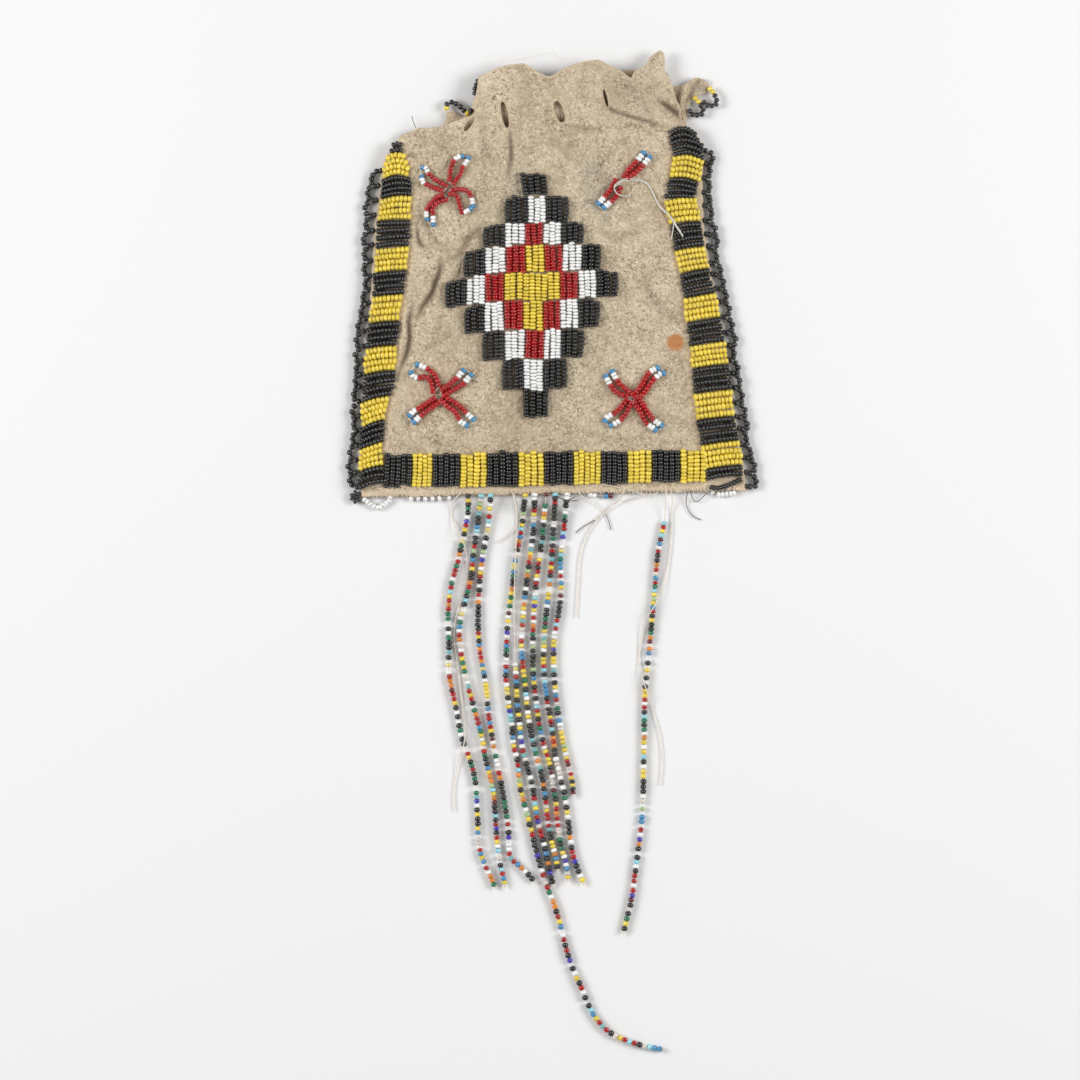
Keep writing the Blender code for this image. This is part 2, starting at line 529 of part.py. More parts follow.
def make_bottom_band(materials):
    """The band of bead columns along the bottom seam, between the two side bands."""
    colours = colours_of(BOTTOM_BAND_ROWS)
    foot = bottom_line(0.0) + HEM_WIDTH
    heights = (foot, foot + BOTTOM_BAND_WIDTH)
    taken = BAND_INSET + BAND_WIDTH + BAND_CLEARANCE
    low_x = max(left_edge(y) for y in heights) + taken
    high_x = min(right_edge(y) for y in heights) - taken
    stations = []
    for index in range(len(colours) + 1):
        x = low_x + index / len(colours) * (high_x - low_x)
        y = bottom_line(x) + HEM_WIDTH
        stations.append(((x, y), (x, y + BOTTOM_BAND_WIDTH)))
    return beaded_strip("bottom_band", stations, colours, BOTTOM_BAND_ACROSS_SHARES, materials,
                        BAND_FLOOR_COUNT)


def lane_droop(x):
    """How far the diamond's lanes sink towards its left corner."""
    left = DIAMOND_LEFT_SHARE * HALF_WIDTH
    centre = DIAMOND_CENTRE_SHARE * HALF_WIDTH
    return LANE_DROOP * max(0.0, (centre - x) / (centre - left))


def make_diamond_lane(number, lane, materials):
    """One lane of the stepped diamond."""
    top_share, bottom_share, left_share, right_share, rows = lane
    colours = colours_of(rows)
    low_x, high_x = left_share * HALF_WIDTH, right_share * HALF_WIDTH
    top = bag_y(top_share) - 0.5 * LANE_GAP
    bottom = bag_y(bottom_share) + 0.5 * LANE_GAP
    stations = []
    for index in range(len(colours) + 1):
        x = low_x + index / len(colours) * (high_x - low_x)
        droop = lane_droop(x)
        stations.append(((x, bottom - droop), (x, top - droop)))
    name = f"diamond_lane_{number}"
    return beaded_strip(name, stations, colours, LANE_ACROSS_SHARES, materials, LANE_FLOOR_COUNT)


def make_bar(materials):
    """The one crossing row that is left of the upper right cross."""
    start = Vector((BAR_START_SHARES[0] * HALF_WIDTH, bag_y(BAR_START_SHARES[1])))
    end = Vector((BAR_END_SHARES[0] * HALF_WIDTH, bag_y(BAR_END_SHARES[1])))
    along = (end - start).normalized()
    side = Vector((-along.y, along.x)) * (0.5 * ARM_WIDTH)
    count = round((end - start).length / BEAD_PITCH)
    stations = []
    for index in range(count + 1):
        middle = start.lerp(end, index / count)
        stations.append((tuple(middle - side), tuple(middle + side)))
    tip = "BWW"
    colours = colours_of(tip + "R" * (count - 2 * len(tip)) + tip[::-1])
    return beaded_strip(BAR_NAME, stations, colours, LANE_ACROSS_SHARES, materials,
                        ARM_FLOOR_COUNT)


def surface_vertex(shape, point, rise):
    """A vertex above the hide at a share of a bead's diameter."""
    height = front_height(point.x, point.y) + FIT_GAP + rise * BEAD_DIAMETER
    return shape.verts.new((point.x, point.y, height))


def cross_centre(side, inset_share, y_share):
    """Where two rows cross, measured in from the side band that they lie beside."""
    y = bag_y(y_share)
    from_seam = BAND_INSET + BAND_WIDTH + inset_share * HALF_WIDTH
    x = left_edge(y) + from_seam if side == "left" else right_edge(y) - from_seam
    return Vector((x, y))


def make_cross(name, centre, arms, materials):
    """Two double rows of beads that cross, as one solid of four ribbed arms."""
    half = 0.5 * ARM_WIDTH
    turns = [share * math.tau for share, _ in arms]
    ways = [Vector((math.cos(turn), math.sin(turn))) for turn in turns]
    corners = [centre + half * (ways[k] + ways[(k + 1) % len(ways)]) for k in range(len(ways))]
    shape = bmesh.new()
    top = [surface_vertex(shape, corner, VALLEY_SHARE) for corner in corners]
    floor = [surface_vertex(shape, corner, 0.0) for corner in corners]
    hub = surface_vertex(shape, centre, CREST_SHARE)
    for k in range(len(arms)):
        face = shape.faces.new((top[k - 1], top[k], hub))
        face.material_index = RED
    shape.faces.new(list(reversed(floor)))
    for k, (_, rows) in enumerate(arms):
        grow_arm(shape, (top[k - 1], top[k]), (floor[k - 1], floor[k]),
                 (corners[k - 1], corners[k]), ways[k], colours_of(rows))
    return bmesh_to_object(shape, name, materials)


def grow_arm(shape, top_pair, floor_pair, corner_pair, way, colours):
    """Grow one arm of a cross outwards from the hub, a rib for each pair of beads."""
    top_now, floor_now = top_pair, floor_pair
    for index, colour in enumerate(colours):
        crest_points = [corner + way * BEAD_PITCH * (index + 0.5) for corner in corner_pair]
        next_points = [corner + way * BEAD_PITCH * (index + 1) for corner in corner_pair]
        crest = [surface_vertex(shape, point, CREST_SHARE) for point in crest_points]
        top_next = [surface_vertex(shape, point, VALLEY_SHARE) for point in next_points]
        floor_next = [surface_vertex(shape, point, 0.0) for point in next_points]
        faces = [
            shape.faces.new((top_now[0], top_now[1], crest[1], crest[0])),
            shape.faces.new((crest[0], crest[1], top_next[1], top_next[0])),
            shape.faces.new((floor_now[0], floor_next[0], floor_next[1], floor_now[1])),
            shape.faces.new((floor_now[0], top_now[0], crest[0], top_next[0], floor_next[0])),
            shape.faces.new((floor_now[1], floor_next[1], top_next[1], crest[1], top_now[1]))]
        for face in faces:
            face.material_index = colour
        top_now, floor_now = top_next, floor_next
    tip = shape.faces.new((top_now[0], top_now[1], floor_now[1], floor_now[0]))
    tip.material_index = colours[-1]


def make_side_edging(name, edge, outward, top_share, materials):
    """Black edging outside one side seam: a pointed loop of beads for each tooth."""
    top_y, bottom_y = bag_y(top_share), bottom_line(edge(BOTTOM_Y))
    count = round((top_y - bottom_y) / EDGING_PITCH)
    shape = bmesh.new()

    def point(y, reach):
        x = edge(y) + outward * (EDGING_GAP + reach)
        return shape.verts.new((x, y, TABLE_CLEARANCE + EDGING_THICKNESS))

    rows = []
    for index in range(count + 1):
        y = top_y + index / count * (bottom_y - top_y)
        rows.append((point(y, 0.0), point(y, EDGING_VALLEY), y))
    for (inner, valley, y), (next_inner, next_valley, next_y) in zip(rows, rows[1:]):
        tip = point(0.5 * (y + next_y), EDGING_REACH)
        shape.faces.new((inner, next_inner, next_valley, tip, valley))
    bmesh.ops.recalc_face_normals(shape, faces=shape.faces)
    if list(shape.faces)[0].normal.z < 0.0:
        bmesh.ops.reverse_faces(shape, faces=shape.faces)
    thicken_down(shape, EDGING_THICKNESS)
    return bmesh_to_object(shape, name, materials)


def smooth_route(points, radii, step):
    """Points about a step apart on a smooth curve through a route, with their radii."""
    ends = [2 * points[0] - points[1]] + points + [2 * points[-1] - points[-2]]
    fine = []
    for index in range(1, len(ends) - 2):
        before, start, end, after = ends[index - 1:index + 3]
        parts = max(1, round((end - start).length / step))
        for part in range(parts):
            t = part / parts
            place = 0.5 * (2 * start + (end - before) * t
                           + (2 * before - 5 * start + 4 * end - after) * t ** 2
                           + (3 * start - before - 3 * end + after) * t ** 3)
            radius = radii[index - 1] + t * (radii[index] - radii[index - 1])
            fine.append((place, radius))
    fine.append((points[-1], radii[-1]))
    return fine


def make_tube(name, points, radii, step, material, resolution=2):
    """A filled tube along a smooth route, with its origin where the route starts."""
    origin = points[0]
    route = smooth_route([point - origin for point in points], radii, step)
    curve = bpy.data.curves.new(name, "CURVE")
    curve.dimensions = "3D"
    curve.bevel_mode = "ROUND"
    curve.bevel_depth = max(radii)
    curve.bevel_resolution = resolution
    curve.use_fill_caps = True
    spline = curve.splines.new("POLY")
    spline.points.add(len(route) - 1)
    for spot, (place, radius) in zip(spline.points, route):
        spot.co = (*place, 1.0)
        spot.radius = radius / max(radii)
    curve.materials.append(material)
    obj = bpy.data.objects.new(name, curve)
    obj.location = origin
    bpy.context.scene.collection.objects.link(obj)
    return obj


def stitch_point(share):
    """Where a strand is sewn to the hem, just inside its edge."""
    x = share * HALF_WIDTH
    return Vector((x, bottom_line(x) + STITCH_INSET, 0.0))


def route_points(share, route):
    """A strand's route in the bag's frame, from its stitch."""
    stitch = stitch_point(share)
    return [stitch + Vector(point) * MM for point in route]


def make_fringe(bead_material, thread_material):
    """All strands and loose threads that hang from the bottom seam."""
    strand_radius, thread_radius = 0.5 * STRAND_DIAMETER, 0.5 * THREAD_DIAMETER
    for name, (share, route) in FRINGE_ROUTES.items():
        points = route_points(share, route)
        make_tube(name, points, [strand_radius] * len(points), CORD_STEP, bead_material)
    points = route_points(CROSSING_STITCH_SHARE, CROSSING_ROUTE)
    beaded = len(points) - CROSSING_BARE_POINTS
    radii = [thread_radius] * CROSSING_BARE_POINTS + [strand_radius] * beaded
    make_tube(CROSSING_STRAND, points, radii, CORD_STEP, bead_material)
    for name, (share, route) in LOOSE_THREADS.items():
        points = route_points(share, route)
        make_tube(name, points, [thread_radius] * len(points), THREAD_STEP, thread_material)


def make_mouth_trims(material):
    """Short bead loops beside the ears and at the mouth's left corner."""
    radius = 0.5 * TRIM_DIAMETER
    for name, route in MOUTH_TRIMS.items():
        points = [Vector((x * HALF_WIDTH, mouth_y(share), radius + TABLE_CLEARANCE))
                  for x, share in route]
        make_tube(name, points, [radius] * len(points), TRIM_DIAMETER, material, resolution=1)


def make_bottom_edgings(material):
    """White edging beads below the bottom seam, with the loop at its left corner."""
    radius = 0.5 * TRIM_DIAMETER
    height = radius + TABLE_CLEARANCE
    for name, (start_share, end_share) in BOTTOM_EDGINGS.items():
        points = []
        if name.endswith("left"):
            for x_share, drop_share in CORNER_LOOP_SHARES:
                x = x_share * HALF_WIDTH
                drop = FIT_GAP + radius + drop_share * CORNER_LOOP_DROP
                points.append(Vector((x, bottom_line(x) - drop, height)))
        for share in (start_share, 0.5 * (start_share + end_share), end_share):
            x = share * HALF_WIDTH
            points.append(Vector((x, bottom_line(x) - FIT_GAP - radius, height)))
        make_tube(name, points, [radius] * len(points), CORD_STEP, material, resolution=1)


def main():
    """Build the whole bag."""
    clear_scene()
    hide = make_material("hide", (0.52, 0.40, 0.27), 0.9)
    black = make_material("black_beads", (0.02, 0.02, 0.022), 0.25)
    yellow = make_material("yellow_beads", (0.72, 0.50, 0.03), 0.35)
    white = make_material("white_beads", (0.80, 0.80, 0.78), 0.35)
    red = make_material("red_beads", (0.32, 0.02, 0.02), 0.2)
    blue = make_material("blue_beads", (0.05, 0.25, 0.48), 0.3)
    mixed = make_material("fringe_beads", (0.22, 0.30, 0.30), 0.3)
    thread = make_material("thread", (0.72, 0.55, 0.38), 0.8)
    colours = [black, yellow, white, red, blue]

    make_front_panel([hide])
    make_mouth_flap([hide])
    make_back_panel([hide])

    make_side_band("left_side_band", LEFT_BAND_ROWS, LEFT_BAND_TOP_SHARE,
                   LEFT_BAND_TAPER_SHARES, left_edge, 1.0, colours)
    make_side_band("right_side_band", RIGHT_BAND_ROWS, RIGHT_BAND_TOP_SHARE,
                   RIGHT_BAND_TAPER_SHARES, right_edge, -1.0, colours)
    make_bottom_band(colours)
    for number, lane in enumerate(DIAMOND_LANE_SHARES, start=1):
        make_diamond_lane(number, lane, colours)
    for name, place in CROSS_PLACE_SHARES.items():
        make_cross(name, cross_centre(*place), CROSS_ARM_SHARES[name], colours)
    make_bar(colours)

    make_side_edging("left_side_edging", left_edge, -1.0, LEFT_EDGING_TOP_SHARE, [black])
    make_side_edging("right_side_edging", right_edge, 1.0, RIGHT_EDGING_TOP_SHARE, [black])
    make_mouth_trims(black)
    make_bottom_edgings(white)
    make_fringe(mixed, thread)


main()
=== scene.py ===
# %% [markdown]
# # Beaded hide pouch with a fringe of glass beads
#
# An old drawstring pouch of soft tanned hide lies on its back. Its front is lane-stitched with
# glass seed beads, black bead loops edge its sides, and strands of mixed beads hang from its hem.
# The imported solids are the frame. This script dresses them: fine sheets of hide with folds and
# slits, and every bead as its own small glass shape, threaded on visible thread.

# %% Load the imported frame
import math

import bpy
import numpy as np
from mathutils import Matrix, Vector
from mathutils.geometry import delaunay_2d_cdt


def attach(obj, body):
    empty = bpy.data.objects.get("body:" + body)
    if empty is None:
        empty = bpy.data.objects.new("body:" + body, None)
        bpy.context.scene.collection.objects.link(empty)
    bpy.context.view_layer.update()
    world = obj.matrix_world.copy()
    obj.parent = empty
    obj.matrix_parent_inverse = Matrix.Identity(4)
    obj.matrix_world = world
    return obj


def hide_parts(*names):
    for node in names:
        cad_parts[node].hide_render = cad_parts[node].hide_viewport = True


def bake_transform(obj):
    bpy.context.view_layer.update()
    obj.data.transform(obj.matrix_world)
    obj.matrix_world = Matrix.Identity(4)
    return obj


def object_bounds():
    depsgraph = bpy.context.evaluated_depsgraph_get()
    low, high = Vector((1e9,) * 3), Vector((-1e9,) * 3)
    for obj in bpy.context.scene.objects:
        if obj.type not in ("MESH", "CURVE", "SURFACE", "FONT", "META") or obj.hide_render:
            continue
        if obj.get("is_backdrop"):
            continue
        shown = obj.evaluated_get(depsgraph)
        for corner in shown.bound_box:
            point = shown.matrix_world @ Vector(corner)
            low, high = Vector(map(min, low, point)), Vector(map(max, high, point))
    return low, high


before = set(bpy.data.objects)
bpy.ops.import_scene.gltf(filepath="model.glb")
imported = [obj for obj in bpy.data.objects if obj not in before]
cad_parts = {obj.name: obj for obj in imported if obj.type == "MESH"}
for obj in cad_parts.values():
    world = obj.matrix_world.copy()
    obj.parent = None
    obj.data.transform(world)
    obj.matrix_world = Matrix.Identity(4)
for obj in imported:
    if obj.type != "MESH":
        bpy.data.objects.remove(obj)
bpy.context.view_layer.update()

# %% [markdown]
# ## Measures
#
# Everything is worked out in millimetres in the bag's frame and scaled to metres when a mesh is
# made. A place read off the photograph is given in its pixels and turned into millimetres here.

# %% Units, the photograph's scale and new objects
MM = 0.001
PIXEL = 0.34
IMAGE_SIZE = 1080
ORIGIN_COLUMN, ORIGIN_ROW = 554.0, 280.0


def at(px, py):
    """A pixel of the photograph in millimetres of the bag's frame."""
    return np.array(((px - ORIGIN_COLUMN) * PIXEL, (ORIGIN_ROW - py) * PIXEL))


def row_of(y):
    """Row of the photograph at a Y of the bag's frame."""
    return ORIGIN_ROW - y / PIXEL


def add_object(name, data):
    """A new object in the scene."""
    made = bpy.data.objects.new(name, data)
    bpy.context.scene.collection.objects.link(made)
    return made


def route_of(*pixels):
    """Pixels of the photograph as a route in millimetres."""
    return np.array([at(px, py) for px, py in pixels])


# %% The bag's outline and fullness, as in its solids
HALF_WIDTH = 65.5
BAG_HEIGHT = 121.4
BOTTOM_Y = -0.608 * BAG_HEIGHT
BOTTOM_SLANT = 2.2
FOLD_Y = BOTTOM_Y + BAG_HEIGHT
MOUTH_HEIGHT = 30.6
HIDE = 1.2
SEAM_TOP = 2.7
FULLNESS = 5.5
SLOPE_WIDTH = 26.0
# Shares of the way up the bag, then the seam's distance there as a share of the half width
LEFT_EDGE = ((0.0, 0.076, 0.487, 0.762, 0.910, 0.941, 0.972, 1.0),
             (1.0, 1.012, 0.965, 0.934, 0.900, 0.885, 0.851, 0.812))
RIGHT_EDGE = ((0.0, 0.084, 0.294, 0.487, 0.633, 0.762, 0.894, 0.972, 1.0),
              (1.0, 0.99, 0.919, 0.872, 0.815, 0.779, 0.774, 0.768, 0.757))
# Shares of the way up the slope, then the rise there, smoothed over a quarter of the slope
RISE = ((0.0, 0.12, 0.27, 0.44, 0.68, 1.0), (0.0, 0.08, 0.34, 0.60, 0.86, 1.0))
RISE_STEPS = np.linspace(0.0, 1.3, 131)
RISE_WINDOW = 25
padded = np.interp(np.linspace(-0.12, 1.42, len(RISE_STEPS) + RISE_WINDOW - 1), *RISE)
RISE_SMOOTH = np.convolve(padded, np.ones(RISE_WINDOW) / RISE_WINDOW, mode="valid")
RISE_SMOOTH = (RISE_SMOOTH - RISE_SMOOTH[0]) / (RISE_SMOOTH[-1] - RISE_SMOOTH[0])


def left_edge(y):
    """X of the left seam."""
    return -HALF_WIDTH * np.interp((y - BOTTOM_Y) / BAG_HEIGHT, *LEFT_EDGE)


def right_edge(y):
    """X of the right seam."""
    return HALF_WIDTH * np.interp((y - BOTTOM_Y) / BAG_HEIGHT, *RIGHT_EDGE)


def bottom_line(x):
    """Y of the bottom seam."""
    return BOTTOM_Y + BOTTOM_SLANT * (x + HALF_WIDTH) / (2 * HALF_WIDTH)


def rise(distance):
    """How far the front has swelled at a distance in from a seam, from 0 to 1."""
    return np.interp(distance / SLOPE_WIDTH, RISE_STEPS, RISE_SMOOTH)


# %% [markdown]
# ## The hide's folds
#
# The front is a height field: the swell of the bag, slack waves between the seams, and the sharp
# creases that show in the photograph. Beads are set on the same field, so they follow each fold.

# %% Smooth random waves
WAVE_TABLE, WAVE_SHIFT_X, WAVE_SHIFT_Y = 64, 31.7, 17.3


def waves(x, y, size, seed):
    """Smooth random values from -1 to 1 with features of a given size."""
    table = np.random.default_rng(seed).uniform(-1.0, 1.0, (WAVE_TABLE, WAVE_TABLE))
    u, v = np.asarray(x) / size + WAVE_SHIFT_X, np.asarray(y) / size + WAVE_SHIFT_Y
    i, j = np.floor(u).astype(int), np.floor(v).astype(int)
    a, b = u - i, v - j
    a, b = a * a * (3 - 2 * a), b * b * (3 - 2 * b)
    i0, i1, j0, j1 = (n % WAVE_TABLE for n in (i, i + 1, j, j + 1))
    low = table[i0, j0] * (1 - a) + table[i1, j0] * a
    high = table[i0, j1] * (1 - a) + table[i1, j1] * a
    return low * (1 - b) + high * b


def slack_lines(x, y, first, second, breadth):
    """Fine meandering lines where the product of two waves passes through zero."""
    return 4.0 * np.clip(breadth - np.abs(waves(x, y, *first) * waves(x, y, *second)), 0, 1)


# %% Lengths, distances and creases
def steps_of(route):
    """Lengths of a route's steps."""
    return np.linalg.norm(np.diff(route, axis=0), axis=1)


def marks_of(route):
    """Lengths from a route's start to each of its points."""
    return np.concatenate(([0.0], np.cumsum(steps_of(route))))


def distance_to(x, y, route):
    """Distance to a route, and the share of the route's length at its nearest point."""
    best = np.full(np.shape(x), 1e9)
    share = np.zeros(np.shape(x))
    steps = steps_of(route)
    total, done = steps.sum(), 0.0
    for start, end, length in zip(route, route[1:], steps):
        way = (end - start) / max(length, 1e-9)
        along = np.clip((x - start[0]) * way[0] + (y - start[1]) * way[1], 0.0, length)
        away = np.hypot(x - start[0] - along * way[0], y - start[1] - along * way[1])
        nearer = away < best
        best = np.where(nearer, away, best)
        share = np.where(nearer, (done + along) / total, share)
        done += length
    return best, share


# Each crease: its pixels in the photograph, then its depth and half width in millimetres
CREASE_PIXELS = (
    (((510, 129), (511, 147), (511.5, 160), (507, 178)), 1.2, 0.8),
    (((608, 107), (613, 112.5), (629, 117.5), (652, 124), (663, 128)), 1.0, 0.7),
    (((658, 101), (669, 108.5), (677, 114.5), (684, 123)), 1.7, 1.0),
    (((562, 124), (571, 128), (585, 130), (606, 130)), 0.55, 0.7),
    (((552, 137), (561, 150), (569, 163), (571, 142)), 0.3, 0.9),
    (((484, 104), (483, 125), (485, 150), (480, 172)), 0.4, 1.6),
    (((441, 259), (440, 272), (432, 294), (423, 307), (417, 319)), 1.7, 0.9),
    (((412, 306), (409, 322), (410, 340), (407, 354), (401, 367), (397, 380)), 1.6, 0.9),
    (((417, 224), (418, 238), (421, 246), (428, 250)), 1.2, 0.7),
    (((484, 224), (467, 242), (461, 253), (452, 262)), 0.9, 1.3),
    (((464, 267), (455, 281), (446, 290)), 0.9, 0.9),
    (((441, 318), (440, 329), (436, 334)), 0.5, 0.8),
    (((404, 151), (411, 156), (418, 160)), 0.7, 0.7),
    (((428, 141), (438, 146), (448, 150), (462, 151)), 0.45, 0.7),
    (((420, 210), (431, 238), (450, 256)), 0.45, 1.3),
    (((455, 328), (440, 345), (421, 352)), 0.35, 1.4),
    (((590, 225), (612, 240), (640, 232)), 0.35, 1.4),
    (((640, 262), (652, 300), (668, 318)), 0.35, 1.5),
    (((570, 425), (610, 441), (660, 440)), 0.3, 1.4),
    (((640, 100), (648, 112), (650, 124)), 0.4, 1.0),
    (((523, 70), (527, 86), (524, 100)), 0.35, 1.3),
    (((584, 68), (580, 84), (583, 102)), 0.35, 1.4),
    (((523, 100), (521.5, 112), (522, 124)), 0.25, 0.5),
    (((529, 102), (529, 116), (530, 128)), 0.25, 0.5),
    (((534, 104), (534, 114), (535, 122)), 0.25, 0.5),
    (((605, 104), (609, 109), (614.8, 112.5)), 0.7, 0.6))
CREASES = [(route_of(*pixels), depth, width) for pixels, depth, width in CREASE_PIXELS]


def crease_depth(x, y):
    """How deep the nearest creases cut, and how much hide bulges beside them."""
    cut, bulge = np.zeros(np.shape(x)), np.zeros(np.shape(x))
    for route, depth, width in CREASES:
        away, share = distance_to(x, y, route)
        fade = np.sin(np.pi * np.clip(share, 0.04, 0.96)) ** 0.5
        cut += depth * fade * np.exp(-((away / width) ** 2))
        bulge += 0.5 * depth * fade * np.exp(-((away / (2.8 * width)) ** 2))
    return cut, bulge


# %% Height of the front
# Waves in the hide: height and size in millimetres, then their seed
LONG_WAVE, SHORT_WAVE, WRINKLE = (0.42, 16.0, 3), (0.22, 7.0, 5), (0.11, 2.6, 7)
MOUTH_WAVE, HEM_PUCKER = (0.9, 11.0, 9), (0.45, 1.25, 11)
HEM_DEPTH = 3.4
CRUMPLED_SIDE = at(480, 0)[0]
CRUMPLED_WIDTH = 22.0


def wave(x, y, kind):
    """Waves of one kind in millimetres."""
    height, size, seed = kind
    return height * waves(x, y, size, seed)


def front_height(x, y):
    """Height of the front's outer face in millimetres."""
    x, y = np.asarray(x, float), np.asarray(y, float)
    base = np.minimum(y, FOLD_Y)
    swell = rise(x - left_edge(base)) * rise(right_edge(base) - x) * rise(base - bottom_line(x))
    over = np.clip((y - FOLD_Y) / MOUTH_HEIGHT, 0.0, 1.2)
    swell = swell * (1.0 - 0.30 * over ** 1.5)
    slack = 0.25 + 0.75 * swell
    crumple = 1.0 + 0.9 * np.clip((CRUMPLED_SIDE - x) / CRUMPLED_WIDTH, 0.0, 1.0)
    hem = np.clip(1.0 - (y - bottom_line(x)) / HEM_DEPTH, 0.0, 1.0)
    cut, bulge = crease_depth(x, y)
    height = SEAM_TOP + FULLNESS * swell
    height = height + slack * (wave(x, y, LONG_WAVE) + crumple * wave(x, y, SHORT_WAVE))
    height = height + crumple * wave(x, y, WRINKLE) + over * wave(x, y, MOUTH_WAVE)
    height = height + hem * wave(x, 0.3 * y, HEM_PUCKER)
    return height - (0.3 + 0.7 * slack) * (cut - bulge)


print("front height at the middle:", round(float(front_height(0.0, 0.0)), 2))

# %% [markdown]
# ## Camera
#
# The photograph looks straight down. A long lens from high up keeps the view flat, as there.

# %% Camera straight above
CAMERA_HEIGHT = 2.5
SENSOR_WIDTH = 36.0
VIEW_CENTRE = at(540, 540) * MM
camera_data = bpy.data.cameras.new("photo_camera")
camera_data.sensor_width = SENSOR_WIDTH
camera_data.lens = SENSOR_WIDTH * CAMERA_HEIGHT / (IMAGE_SIZE * PIXEL * MM)
camera_data.clip_end = 50.0
camera = add_object("photo_camera", camera_data)
camera.location = (*VIEW_CENTRE, CAMERA_HEIGHT)
bpy.context.scene.camera = camera
print("lens:", round(camera_data.lens, 1), "mm")

# %% [markdown]
# ## Materials
#
# Colours are given as they look, from 0 to 255, and turned into linear light here.

# %% Colour and node helpers
def linear(red, green, blue):
    """An 8-bit screen colour as linear light with alpha."""
    parts = []
    for value in (red, green, blue):
        share = value / 255.0
        parts.append(share / 12.92 if share <= 0.04045 else ((share + 0.055) / 1.055) ** 2.4)
    return (*parts, 1.0)


def feed(tree, node, values):
    """Join a node's inputs to sockets, or set them to values."""
    for key, value in values.items():
        if isinstance(value, bpy.types.NodeSocket):
            tree.links.new(value, node.inputs[key])
        else:
            node.inputs[key].default_value = value


def add_node(tree, kind, values, output, **settings):
    """One output of a new node with its inputs fed."""
    made = tree.nodes.new(kind)
    for key, value in settings.items():
        setattr(made, key, value)
    feed(tree, made, values)
    return made.outputs[output]


class Shading:
    """A material under construction, with short ways to add and join nodes."""

    def __init__(self, name):
        self.material = bpy.data.materials.new(name)
        self.material.use_nodes = True
        self.tree = self.material.node_tree
        self.place = self.node("ShaderNodeTexCoord", {}, "Object")

    def node(self, kind, values, output, **settings):
        """One output of a new node in this material."""
        return add_node(self.tree, kind, values, output, **settings)

    def noise(self, size, detail=3.0, roughness=0.55, distortion=0.0):
        """Noise with features of a size in millimetres."""
        values = {"Vector": self.place, "Scale": 1.0 / (size * MM), "Detail": detail,
                  "Roughness": roughness, "Distortion": distortion}
        return self.node("ShaderNodeTexNoise", values, "Fac")

    def ramp(self, source, low, high, start=0.0, end=1.0):
        """Map a value from one range to another, held at both ends."""
        values = {"Value": source, "From Min": low, "From Max": high, "To Min": start,
                  "To Max": end}
        return self.node("ShaderNodeMapRange", values, "Result")

    def mix(self, share, first, second):
        """Mix two colours, each a socket or a colour."""
        values = {"Factor": share, "A": first, "B": second}
        return self.node("ShaderNodeMix", values, "Result", data_type="RGBA")

    def maths(self, first, second, kind="ADD"):
        """Two values or sockets joined by a sum or another operation."""
        return self.node("ShaderNodeMath", {0: first, 1: second}, "Value", operation=kind)

    def attribute(self, name, output="Fac"):
        """A value stored on the mesh."""
        return self.node("ShaderNodeAttribute", {}, output, attribute_name=name)

    def set(self, **values):
        """Set or join inputs of the surface shader."""
        feed(self.tree, self.tree.nodes["Principled BSDF"],
             {key.replace("_", " "): value for key, value in values.items()})

    def bump(self, source, strength, depth):
        """Push the surface in and out by up to a depth in millimetres."""
        values = {"Height": source, "Strength": strength, "Distance": depth * MM}
        self.set(Normal=self.node("ShaderNodeBump", values, "Normal"))


# %% Worn brain-tanned hide
def make_hide(name, warmth):
    """Soft hide with a mottled colour, dark nap specks, painted shade in creases and folds,
    smudges, stains and a rough nap.
    """
    hide = Shading(name)
    cloudy = hide.noise(4.5, 4.0, 0.65, 0.5)
    grain = hide.noise(0.85, 3.0, 0.65, 1.0)
    specks = hide.maths(hide.ramp(grain, 0.49, 0.36),
                        hide.ramp(hide.noise(11.0, 4.0), 0.36, 0.64, 0.25, 1.0), "MULTIPLY")
    drift = hide.maths(hide.noise(1.9, 2.0, 0.5, 1.2), 0.5, "SUBTRACT")
    drift = hide.maths(drift, 0.0, "ABSOLUTE")
    squiggles = hide.maths(hide.ramp(drift, 0.0, 0.028, 1.0, 0.0),
                           hide.ramp(hide.noise(9.0, 3.0), 0.44, 0.64, 0.0, 0.60), "MULTIPLY")
    # Layers from the lowest up: how much of each shows, and its colour
    colour = linear(196, 176, 145)
    for share, tone in (
            (hide.ramp(hide.noise(24.0, 4.0, 0.5), 0.36, 0.66), (224, 205, 174)),
            (hide.ramp(hide.noise(30.0, 3.0), 0.48, 0.72, 0.0, 0.45), (176, 158, 130)),
            (hide.ramp(cloudy, 0.49, 0.34, 0.0, 0.45), (150, 130, 102)),
            (hide.ramp(cloudy, 0.52, 0.68, 0.0, 0.50), (236, 221, 194)),
            (hide.maths(specks, 0.95, "MULTIPLY"), (122, 102, 78)),
            (hide.ramp(grain, 0.53, 0.65, 0.0, 0.8), (238, 226, 202)),
            # The crease layer is painted shade in creases, folds and broad patches, with darker
            # worn lines; the smudge layer is smudges on the front and painted shade on the back
            # ear's inner face
            (squiggles, (112, 94, 72)), (hide.attribute("crease"), (108, 90, 68)),
            (hide.attribute("smudge"), (128, 132, 132)), (hide.attribute("stain"), (194, 120, 50)),
            (hide.attribute("rim"), (238, 214, 180)), (warmth, (214, 178, 134))):
        colour = hide.mix(share, colour, linear(*tone))
    hide.set(Base_Color=colour, Roughness=0.92, Sheen_Weight=0.25, Sheen_Roughness=0.6,
             Specular_IOR_Level=0.2)
    nap = hide.maths(hide.noise(0.6, 3.0, 0.7), grain)
    hide.bump(hide.maths(nap, hide.maths(cloudy, 4.2, "MULTIPLY")), 1.0, 0.45)
    return hide.material


hide_front = make_hide("hide_outer", 0.0)
hide_back = make_hide("hide_back", 0.12)


